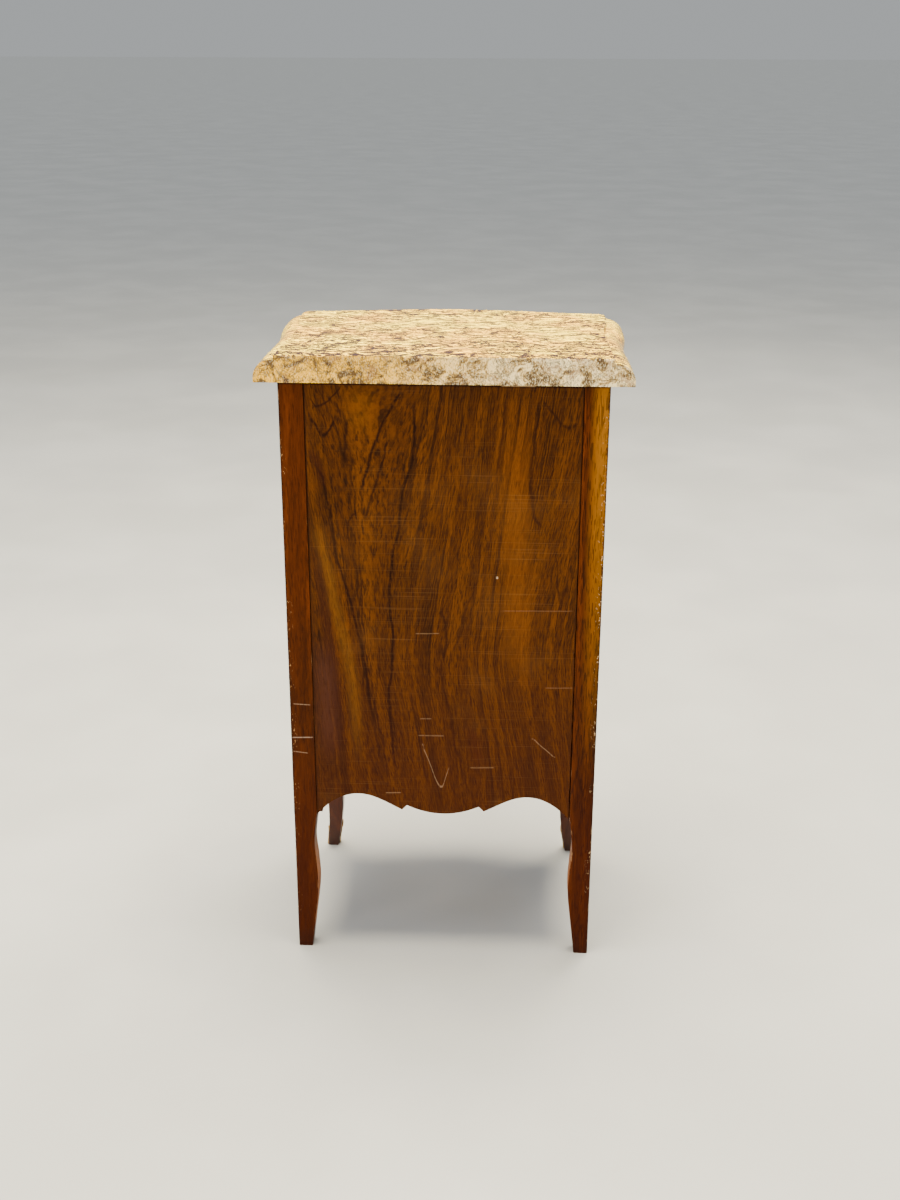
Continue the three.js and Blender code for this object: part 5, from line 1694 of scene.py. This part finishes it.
@dataclass
class Mounts(Assembly):
    """The cast mounts: corner mounts, apron shell and the shoes of the front feet. Reliefs are in mm."""

    legs: Legs
    top: float
    corner_length: float = 128 * MM
    corner_half: float = 11 * MM
    corner_drop: float = 8 * MM
    husks: tuple = (0.5, 0.62, 0.72, 0.81, 0.89)
    corner_pins: tuple = (0.175, 0.935)
    shell_half: float = 31 * MM
    shell_height: float = 34 * MM
    shell_fan: float = 0.62
    shell_ribs: int = 7
    shell_sweep: float = 0.08
    shell_pin: tuple = (19.5 * MM, 2.4 * MM, 3.4 * MM)
    seat: float = 0.1 * MM
    apron_drop: float = 8 * MM
    apron_top: float = 238 * MM
    shoe_height: float = 58 * MM
    # The shoe's upper edge, in mm from its corner and up: three leaves
    shoe_edge: tuple = (
        (-60, 5), (-13, 12), (-9.75, 36), (-5.2, 28), (0, 57.5), (5.2, 28), (9.75, 36), (13, 12), (60, 5),
    )

    def corner(self, side: float) -> list[Skin]:
        """A corner mount: a scrolled head, an acanthus leaf and a fall of husks, on the canted face.

        Across the mount the section is sqrt(1 - w^2) times a crest that swells for head, leaf and husks.

        Args:
            side: -1 for the left, 1 for the right.

        Returns:
            The casting and its two pins.
        """
        plan = self.plan
        down = np.linspace(0, 1, 110)[:, None]
        w = np.linspace(-1, 1, 27)[None, :]
        leaf = 1 - 0.16 * np.cos(down * math.pi * 7)
        half = np.maximum(self.corner_half * (1 - down) ** 0.55 * leaf / 1.16, 1.2 * MM)
        crest = 1.1 + 2.3 * bump(down, 0.07, 0.07) + 1.5 * bump(down, 0.27, 0.09)
        for husk in self.husks:
            crest = crest + 1.5 * bump(down, husk, 0.026)
        veins = 0.5 * np.cos(2 * math.pi * (down * 26 + np.abs(w) * 1.5))
        veins = veins * ramp(down, 0.14, 0.2) * ramp(down, 0.5, 0.42)
        scrolls = 1.6 * np.exp(-((down - 0.05) ** 2 / 0.0009 + (np.abs(w) - 0.62) ** 2 / 0.05))
        groove = -0.9 * np.exp(-((down - 0.05) ** 2 / 0.0001 + (np.abs(w) - 0.62) ** 2 / 0.012))
        gem = 1.2 * np.exp(-((down - 0.1) ** 2 / 0.0012 + w**2 / 0.09)) - 0.7 * bump(down, 0.155, 0.012)
        ridge = 0.6 * bump(w, 0, 0.1) * ramp(down, 0.16, 0.22)
        height = (crest * np.sqrt(1 - (w * 0.96) ** 2) + veins + scrolls + groove + gem + ridge) * MM
        height = np.clip(height, 0.5 * MM, 5 * MM)
        across = w * half
        fall = plan.cant_round * math.sqrt(2) * np.abs(across) / self.corner_half
        up = -self.corner_length * down
        face, seat = (joined(across, level - fall, up) for level in (height, self.seat))
        cast = np.concatenate([face, seat[:, ::-1]], axis=1)
        shine = np.concatenate([ramp(height / MM, 0.8, 3.6), np.zeros_like(height)], axis=1)
        pins = [ball((0, 2.4 * MM, -share * self.corner_length), 1.25 * MM) for share in self.corner_pins]
        angle = side * math.atan2(plan.cant_depth, plan.cant_width)
        x, depth = plan.cant()[2]
        middle = np.array([side * x, plan.back_y - depth, self.top - self.corner_drop])
        parts = [(cast, shine), *((pin, 1.0) for pin in pins)]
        return [relieved(outwards(local, angle) + middle, relief) for local, relief in parts]

    def shell(self) -> list[Skin]:
        """The apron's fan shell: sharp ribs fan out from a pearl, over a small leaf.

        Its outline reaches 1 - 0.07 |sin(ribs x share x pi)| of the half width, and its ribs stand where
        it is longest.

        Returns:
            The casting and two pins.
        """
        fan_height = self.shell_height * self.shell_fan
        share = np.linspace(0, 1, 141)
        angle = math.pi * (share * (1 + 2 * self.shell_sweep) - self.shell_sweep)
        reach = 1 - 0.07 * np.abs(np.sin(share * math.pi * self.shell_ribs))
        fan = joined(self.shell_half * reach * np.cos(angle), fan_height * reach * np.sin(angle))
        outline = np.vstack([fan, [(0, fan_height - self.shell_height)]])
        around = round_about(240)
        r = np.linspace(0.02, 1, 34)[:, None]
        flat_angle = np.arctan2(np.sin(around) / fan_height, np.cos(around) / self.shell_half)
        rib_share = (flat_angle / math.pi + self.shell_sweep) / (1 + 2 * self.shell_sweep)
        upper = ramp(rib_share, -0.04, 0.02) * ramp(rib_share, 1.04, 0.98)
        ribs = 1 - np.abs(np.sin(rib_share * math.pi * self.shell_ribs))
        height = 1.0 + (1.1 + 1.7 * ribs) * upper * ramp(r, 0.12, 0.5) * (1.12 - 0.35 * r) + 2.6 * bump(r, 0, 0.11)
        height = height + 0.8 * bump(r, 0.2, 0.035) + 0.9 * (1 - upper) * bump(r, 0.55, 0.22)
        height = np.clip(height * (1 - 0.45 * ramp(r, 0.93, 1.0)), 0.5, 4.8) * MM
        far = polar_reach(outline, around) * r
        face = joined(far * np.cos(around), height, far * np.sin(around))
        x, out, up = self.shell_pin
        pins = [(ball((side * x, out, up), 1.1 * MM), 1.0) for side in SIDES.values()]
        base = self.apron_top - self.apron_drop - fan_height
        parts = [with_seat(face, ramp(height / MM, 1.0, 3.6), self.seat), *pins]
        return [relieved(self.plan.seated(local, 0.0, base), relief) for local, relief in parts]

    def shoe(self, side: float) -> list[Skin]:
        """A cast shoe: a wall round the foot's outer faces, its upper edge cut as three leaves.

        Each column runs from the floor up the outside to the leaf line and down the inside.

        Args:
            side: -1 for the left, 1 for the right.

        Returns:
            The skin, in a list.
        """
        rows = smooth_rows(np.array(self.legs.front_rows) * MM, 200)
        rows = rows[rows[:, 0] < self.shoe_height + 8 * MM]
        ring, _ = self.legs.front_rings(rows, between=6)
        # The foot's section has six corners; the wall runs from the second to past the fifth
        each = ring.shape[1] // 6
        ring = ring[:, each + 5 : each * 5 + 8]
        step = np.gradient(ring, axis=1)
        normal = joined(step[..., 1], -step[..., 0])
        normal /= np.linalg.norm(normal, axis=2, keepdims=True)
        normal = normal * np.sign(np.sum(normal[0, len(normal[0]) // 2]))
        foot = ring[0]
        corner = foot[np.argmax(foot.sum(axis=1))]
        across = (foot - corner) @ np.array([1.0, -1.0]) / math.sqrt(2)
        edge = np.array(self.shoe_edge) * MM
        up = np.linspace(0, 1, 30)[:, None]
        height = up * np.interp(across, edge[:, 0], edge[:, 1])[None, :]
        place_row = np.interp(height, rows[:, 0], np.arange(len(rows)))
        low = np.minimum(place_row.astype(int), len(rows) - 2)
        share = (place_row - low)[..., None]
        column = np.arange(ring.shape[1])[None, :]
        wall = ring[low, column] * (1 - share) + ring[low + 1, column] * share
        ribs = 0.35 * np.cos(across[None, :] / (1.15 * MM)) * ramp(up, 0.15, 0.4)
        rim = 0.7 * bump(up, 0.97, 0.05) + 0.8 * bump(height, 3 * MM, 2.2 * MM) + 0.5 * bump(height, 8 * MM, 1.2 * MM)
        relief = np.clip(1.15 + ribs + rim, 0.4, 2.2)
        faces = (wall + normal[low, column] * level * MM for level in (relief[..., None], 0.05))
        outer, inner = (self.plan.at(face[..., 0] * side, face[..., 1], height) for face in faces)
        rings = np.concatenate([outer, inner[::-1]]).transpose(1, 0, 2)
        return [relieved(rings, np.concatenate([ramp(relief, 0.8, 1.7), np.zeros_like(relief)]).T)]

    def build(self) -> None:
        """Makes the mounts of the case."""
        gilt = self.finishes.gilt
        for label, side in SIDES.items():
            casting = skinned(f"{label}_corner_casting", self.corner(side), gilt)
            place(casting, f"{label}_corner_mount", "gilt_brass")
            place(skinned(f"{label}_shoe", self.shoe(side), gilt), f"{label}_sabot", "gilt_brass")
        place(skinned("apron_shell", self.shell(), gilt), "apron_mount", "gilt_brass")


# Drawers


@dataclass
class Drawer(Assembly):
    """One drawer: a veneered bowed front, dovetailed box, lock, escutcheon and two drop handles."""

    level: str
    front_half: float = 147.2 * MM
    box_half: float = 144.6 * MM
    box_inner: float = 136.8 * MM
    lip: float = 7 * MM
    thickness: float = 20 * MM
    arris: float = 0.6 * MM
    box_arris: float = 0.4 * MM
    handle_x: float = 76 * MM
    key_drop: float = 24 * MM
    key_radius: float = 2.4 * MM
    plate_half: float = 43 * MM
    plate_height: float = 17 * MM
    plate_drop: float = 3 * MM
    plate_lobes: int = 6
    seat: float = 0.05 * MM
    pivot_out: float = 12 * MM
    post_offset: float = 27 * MM
    bail_half: float = 35 * MM
    bail_drop: float = 27 * MM
    collars: tuple = (0.13, 0.5)
    knuckle: float = 2.4 * MM
    pin_inner: float = 23.5 * MM
    squareness: float = 0.62
    # A handle post's radius and distance out, in mm
    stem: tuple = ((3.6, 2.2), (3.7, 3.2), (2.5, 4.0), (2.1, 5.4), (2.6, 6.6), (3.2, 7.0), (2.7, 7.6), (2.4, 8.4))
    low: float = field(init=False)
    high: float = field(init=False)
    pivot: float = field(init=False)

    def __post_init__(self) -> None:
        """Takes the front's heights and the handle's pivot from the frame."""
        lower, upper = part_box(f"{self.level}_drawer_front")
        self.low, self.high = lower.z, upper.z
        # The solid's knuckle has ten sides, so its box ends a little below the round
        self.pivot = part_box(f"{self.level}_drawer_left_bail")[1].z - self.knuckle * math.cos(math.pi / 10)

    def front(self) -> Skin:
        """The front: bowed outside, with a lip at each end and its back set 20 mm behind the bow.

        Returns:
            The skin.
        """
        plan = self.plan
        even = np.linspace(0, self.front_half - self.arris, 60)
        steps = [self.box_half, self.box_half - 0.02 * MM, self.box_inner]
        right = np.unique(np.concatenate([even, steps, end_columns(self.front_half, self.arris)]))
        across = np.concatenate([-right[:0:-1], right])
        face = plan.front(across)
        shoulder = float(plan.front(self.front_half)) - self.thickness
        behind = np.where(np.abs(across) < self.box_inner, np.maximum(face - self.thickness, shoulder), shoulder)
        behind = np.where(np.abs(across) >= self.box_half, shoulder + self.thickness - self.lip, behind)
        low = np.full_like(across, self.low)
        sections, near = board(across, low, self.high, face, behind, self.arris, 1)
        values = veneered(across, sections, low, self.high, face[:, None] - sections[..., 1], near)
        return loft(plan.at(across[:, None], sections[..., 1], sections[..., 0]), values)

    def lobed(self, angle: Array, half: float, tall: float) -> tuple[Array, Array]:
        """The lobed oval at an angle: half axes times (1 + 0.07 cos(lobes x angle)) / 1.07."""
        reach = (1 + 0.07 * np.cos(self.plate_lobes * angle)) / 1.07
        return half * reach * np.cos(angle), tall * reach * np.sin(angle)

    def on_front(self, side: float) -> tuple[float, float, Array]:
        """Where a handle sits on the bow: its x, the front's angle, and the point there at the pivot's height."""
        x = side * self.handle_x
        return x, self.plan.front_turn(x), np.array([x, self.plan.back_y - float(self.plan.front(x)), self.pivot])

    def flat(self, local: Array, side: float) -> Array:
        """Puts points given across, outwards and up in the handle's own upright plane.

        Args:
            local: the points.
            side: -1 for the left handle, 1 for the right.

        Returns:
            The points in the scene.
        """
        x, angle, middle = self.on_front(side)
        foot = x + local[..., 0] * math.cos(angle)
        tangent = float(self.plan.front(x)) - (foot - x) * math.tan(angle)
        sunk = np.maximum(tangent - self.plan.front(foot), 0) * ramp(4 * MM - local[..., 1], -4 * MM, 2 * MM)
        laid = joined(local[..., 0], -(local[..., 1] - sunk), local[..., 2])
        return turned(laid, angle) + middle

    def backplate(self, side: float) -> list[Skin]:
        """A handle's backplate: a beaded rim, gadroons, a domed middle, and a turned post at each end.

        Args:
            side: -1 for the left handle, 1 for the right.

        Returns:
            The plate, two rosettes, two posts with their knobs, and two pins.
        """
        angle = round_about(180)
        r = np.linspace(0.02, 1, 40)[:, None]
        far_x, far_z = self.lobed(angle, self.plate_half, self.plate_height)
        height = 0.9 + 1.3 * (1 - r**2) + 0.75 * bump(r, 0.93, 0.035)
        height = height + 0.45 * np.cos(18 * angle) * bump(r, 0.76, 0.1) - 0.5 * bump(r, 0.6, 0.03)
        height = height + 0.8 * bump(r, 0.3, 0.04) + 0.35 * np.cos(8 * angle) * bump(r, 0.44, 0.09)
        height = height + 0.9 * bump(r, 0, 0.16)
        height = np.clip(height * (1 - 0.5 * ramp(r, 0.96, 1.0)), 0.4, 3.6) * MM
        face = joined(far_x * r, height, far_z * r - self.plate_drop)
        parts = [with_seat(face, ramp(height / MM, 0.9, 2.6), self.seat)]
        u = angle[:, ::3]
        v = np.linspace(0.04, math.pi / 2, 10)[:, None]
        petals = 1 + 0.14 * np.cos(8 * u)
        wide = 6.2 * np.sin(v) * petals
        rosette = joined(wide * np.cos(u), 1.1 + 2.4 * np.cos(v), wide * np.sin(u))
        rosette = np.concatenate([rosette, rosette[-1:] * np.array([1, 0.05, 1])]) * MM
        for end in SIDES.values():
            centre = (end * self.post_offset, 0, 0)
            knob = ball((centre[0], self.pivot_out, 0), 4.2 * MM, 1.0, 13, 20)
            stem = turned_stem(centre, np.array(self.stem) * MM)
            parts += [(rosette + np.array(centre), 0.35 + 0.3 * petals), (stem, 0.75), (knob, 0.9)]
        parts += [(ball((end * 12 * MM, 2.5 * MM, -self.plate_drop), 1.15 * MM), 1.0) for end in SIDES.values()]
        return [relieved(self.flat(local, side), relief) for local, relief in parts]

    def bail(self, side: float) -> list[Skin]:
        """A handle's bail: a drooping bow that swells to a knop, with a knuckle and a pin at each end.

        Its line is x = -half cos(t), z = -drop sin(t)^squareness, and its radius swells by bells at the
        knop, at the two collars and towards the ends.

        Args:
            side: -1 for the left handle, 1 for the right.

        Returns:
            The bow, two knuckles and two pins.
        """
        share = np.linspace(0, 1, 121)
        t = math.pi * (share - np.sin(2 * math.pi * share) / (2 * math.pi) * 0.55)
        line = joined(-self.bail_half * np.cos(t), -self.bail_drop * np.sin(t) ** self.squareness)
        run = np.concatenate([[0], np.cumsum(np.linalg.norm(np.diff(line, axis=0), axis=1))])
        even = np.linspace(0, run[-1], 90)
        line = np.stack([np.interp(even, run, line[:, i]) for i in range(2)], -1)
        heading = np.gradient(line, axis=0)
        heading /= np.linalg.norm(heading, axis=1, keepdims=True)
        place_along = np.linspace(-1, 1, len(line))
        radius = 1.65 + 0.5 * bump(place_along, 0, 0.35) + 1.3 * bump(place_along, 0, 0.045)
        for collar in self.collars:
            radius = radius + 0.75 * bump(np.abs(place_along), collar, 0.018)
        radius = (radius * MM)[:, None]
        u = round_about(14)
        x = line[:, 0][:, None] - heading[:, 1][:, None] * radius * np.cos(u)
        z = line[:, 1][:, None] + heading[:, 0][:, None] * radius * np.cos(u)
        parts = [(joined(x, self.pivot_out + radius * np.sin(u), z), ramp(radius / MM, 1.2, 2.3))]
        out = np.array([self.pin_inner, self.pin_inner + 0.3 * MM, self.bail_half])[:, None]
        thick = np.array([1.3, 1.8, 1.8])[:, None] * MM
        for end in SIDES.values():
            knuckle = ball((end * self.bail_half, self.pivot_out, 0), self.knuckle, 1.0)
            pin = joined(end * out, self.pivot_out + thick * np.cos(u), thick * np.sin(u))
            parts += [(knuckle, 0.85), (pin, 0.5)]
        _, angle, middle = self.on_front(side)
        return [relieved(outwards(local, angle) + middle, relief) for local, relief in parts]

    def escutcheon(self) -> list[Skin]:
        """The keyhole plate: a lobed oval with a beaded rim round a keyhole, and behind it a dark floor of painted
        shade standing for the hole.

        The keyhole reaches 2.4 mm all round and 8 mm down its slot, and the plate is ruled between it
        and the lobed edge.

        Returns:
            The plate, the keyhole's floor and two pins.
        """
        angle = round_about(160)
        cos, sin = np.cos(angle), np.sin(angle)
        slot = np.minimum(1.1 / np.maximum(np.abs(cos), 0.05), 8 / np.maximum(-sin, 0.05)) * MM
        key = np.where((sin < 0) & (np.abs(cos) < 0.45), np.maximum(self.key_radius, slot), self.key_radius)
        far_x, far_z = self.lobed(angle, 16 * MM, 22 * MM)
        r = np.linspace(0, 1, 26)[:, None]
        height = 1.0 + 1.1 * (1 - r) + 0.8 * bump(r, 0.92, 0.05) + 0.6 * bump(r, 0.08, 0.06)
        height = height + 0.4 * np.cos(12 * angle) * bump(r, 0.62, 0.16)
        height = np.clip(height * (1 - 0.5 * ramp(r, 0.96, 1.0)), 0.4, 3.0) * MM
        face = joined(key * cos * (1 - r) + far_x * r, height, key * sin * (1 - r) + far_z * r)
        hole, edge = (ring * np.array([1, 0, 1]) for ring in (face[:1], face[-1:]))
        shine = ramp(height / MM, 0.9, 2.3)
        shine = np.concatenate([0 * shine[:1], shine, 0 * shine[-1:]])
        floor = np.concatenate([hole + np.array([0, level * MM, 0]) for level in (0.05, 0.3)])
        pins = [ball((0, 2.1 * MM, end * 16.5 * MM), 1.1 * MM) for end in SIDES.values()]
        plate, floor, *pins = (
            self.plan.seated(local, 0.0, self.high - self.key_drop)
            for local in (np.concatenate([hole, face, edge]), floor, *pins)
        )
        return [relieved(plate, shine, ring_shaped=True), loft(floor, finish=1), *(relieved(pin) for pin in pins)]

    def build(self) -> None:
        """Makes the drawer and lets each piece ride on its body."""
        looks, name = self.finishes, f"{self.level}_drawer"
        place(skinned(f"{name}_face", [self.front()], looks.front_veneer), f"{name}_front", "walnut_veneer", name)
        box = {
            "left_side": (looks.oak_side, "drawer_wood"),
            "right_side": (looks.oak_side, "drawer_wood"),
            "back": (looks.oak_across, "drawer_wood"),
            "bottom": (looks.oak_across, "drawer_wood"),
            "lock": (looks.iron, "lock_iron"),
        }
        for part, (dress, slot) in box.items():
            place_copy(dress, self.box_arris, f"{name}_{part}", slot, name)
        key_plate = skinned(f"{name}_key_plate", self.escutcheon(), looks.gilt, looks.keyhole)
        place(key_plate, f"{name}_escutcheon", "gilt_brass", name)
        for label, side in SIDES.items():
            plate = skinned(f"{name}_{label}_plate", self.backplate(side), looks.gilt)
            place(plate, f"{name}_{label}_backplate", "gilt_brass", name)
            drop = skinned(f"{name}_{label}_drop", self.bail(side), looks.gilt)
            place(drop, f"{name}_{label}_bail", "gilt_brass", f"{self.level}_{label}_bail")


# Studio


@dataclass(frozen=True)
class Lamp:
    """A square soft light: where it stands, its side, its watts and its colour."""

    at: tuple
    size: float
    power: float
    colour: str


WARM, COOL = "#fff6ea", "#eef3ff"
LAMPS = {
    "key": Lamp((1.6, 2.4, 2.3), 1.8, 91, WARM),
    "rim": Lamp((2.0, 0.7, 1.9), 0.7, 26, WARM),
    "rear_fill": Lamp((-2.4, 1.6, 1.5), 2.0, 30, COOL),
    "front_key": Lamp((-1.8, -2.4, 2.2), 1.8, 76, WARM),
    "front_fill": Lamp((2.4, -1.4, 1.5), 2.0, 30, COOL),
    "overhead": Lamp((0, -0.2, 2.9), 1.8, 600, "#ffeecc"),
}


@dataclass
class Studio:
    """The plain floor, the soft lights and the camera."""

    camera_place: tuple = (-0.0765, 1.7123, 1.0704)
    camera_aim: tuple = (0.0410, -0.9319, -0.3605)
    roll: float = -0.18
    lens: float = 44.33
    sensor: float = 36.0
    lit: tuple = (0, 0, 0.4)
    floor_half: float = 60.0
    floor_thickness: float = 0.02
    sky_power: float = 3.0
    sky_spread: float = 60.0
    world_colour: str = "#c9cdcf"
    world_power: float = 0.7

    def stand(self, name: str, data: bpy.types.ID, at: tuple, aim: Vector, roll: float = 0.0) -> Thing:
        """Sets up a lamp or the camera.

        Args:
            name: its name.
            data: its data.
            at: where it stands.
            aim: the way it looks.
            roll: how far it is rolled about that way, in degrees.

        Returns:
            The linked object.
        """
        made = shown(name, data)
        made.location = at
        made.rotation_mode = "QUATERNION"
        aim = aim.normalized()
        made.rotation_quaternion = Quaternion(aim, math.radians(roll)) @ aim.to_track_quat("-Z", "Y")
        return made

    def build(self, finishes: Finishes) -> None:
        """Lays the floor, hangs the lights and sets the camera.

        Args:
            finishes: the chest's materials.
        """
        square = np.array([(-1, -1), (1, -1), (1, 1), (-1, 1)]) * self.floor_half
        slab = np.stack([np.column_stack([square, np.full(4, z)]) for z in (-self.floor_thickness, 0.0)])
        skinned("floor", [loft(slab)], finishes.floor)
        for name, lamp in LAMPS.items():
            data = bpy.data.lights.new(name, "AREA")
            data.size, data.energy, data.color = lamp.size, lamp.power, linear(lamp.colour)[:3]
            self.stand(name, data, lamp.at, Vector(self.lit) - Vector(lamp.at))
        data = bpy.data.lights.new("sky", "SUN")
        data.energy, data.angle = self.sky_power, math.radians(self.sky_spread)
        shown("sky", data)
        world = bpy.data.worlds.new("studio")
        world.use_nodes = True
        colour, power = world.node_tree.nodes["Background"].inputs[:2]
        colour.default_value, power.default_value = linear(self.world_colour), self.world_power
        bpy.context.scene.world = world
        data = bpy.data.cameras.new("camera")
        data.lens, data.sensor_width = self.lens, self.sensor
        camera = self.stand("camera", data, self.camera_place, Vector(self.camera_aim), self.roll)
        bpy.context.scene.camera = camera


def main() -> None:
    """Builds the chest piece by piece, then the studio."""
    logging.basicConfig(level=logging.INFO, format="%(name)s: %(message)s")
    marble_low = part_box("marble_top")[0].z
    plan = CasePlan(
        back_y=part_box("rear_left_leg")[1].y,
        lobe_half=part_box("front_right_leg")[1].x,
        crown=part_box("rear_left_leg")[1].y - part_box("front_apron")[0].y,
    )
    finishes = Finishes(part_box("rear_right_leg")[1].x)
    legs = Legs(plan, finishes, marble_low)
    MarbleTop(plan, finishes, marble_low).build()
    legs.build()
    Boards(plan, finishes, marble_low).build()
    Mounts(plan, finishes, legs, marble_low).build()
    for level in LEVELS:
        Drawer(plan, finishes, level).build()
    Studio().build(finishes)


if __name__ == "__main__":
    main()
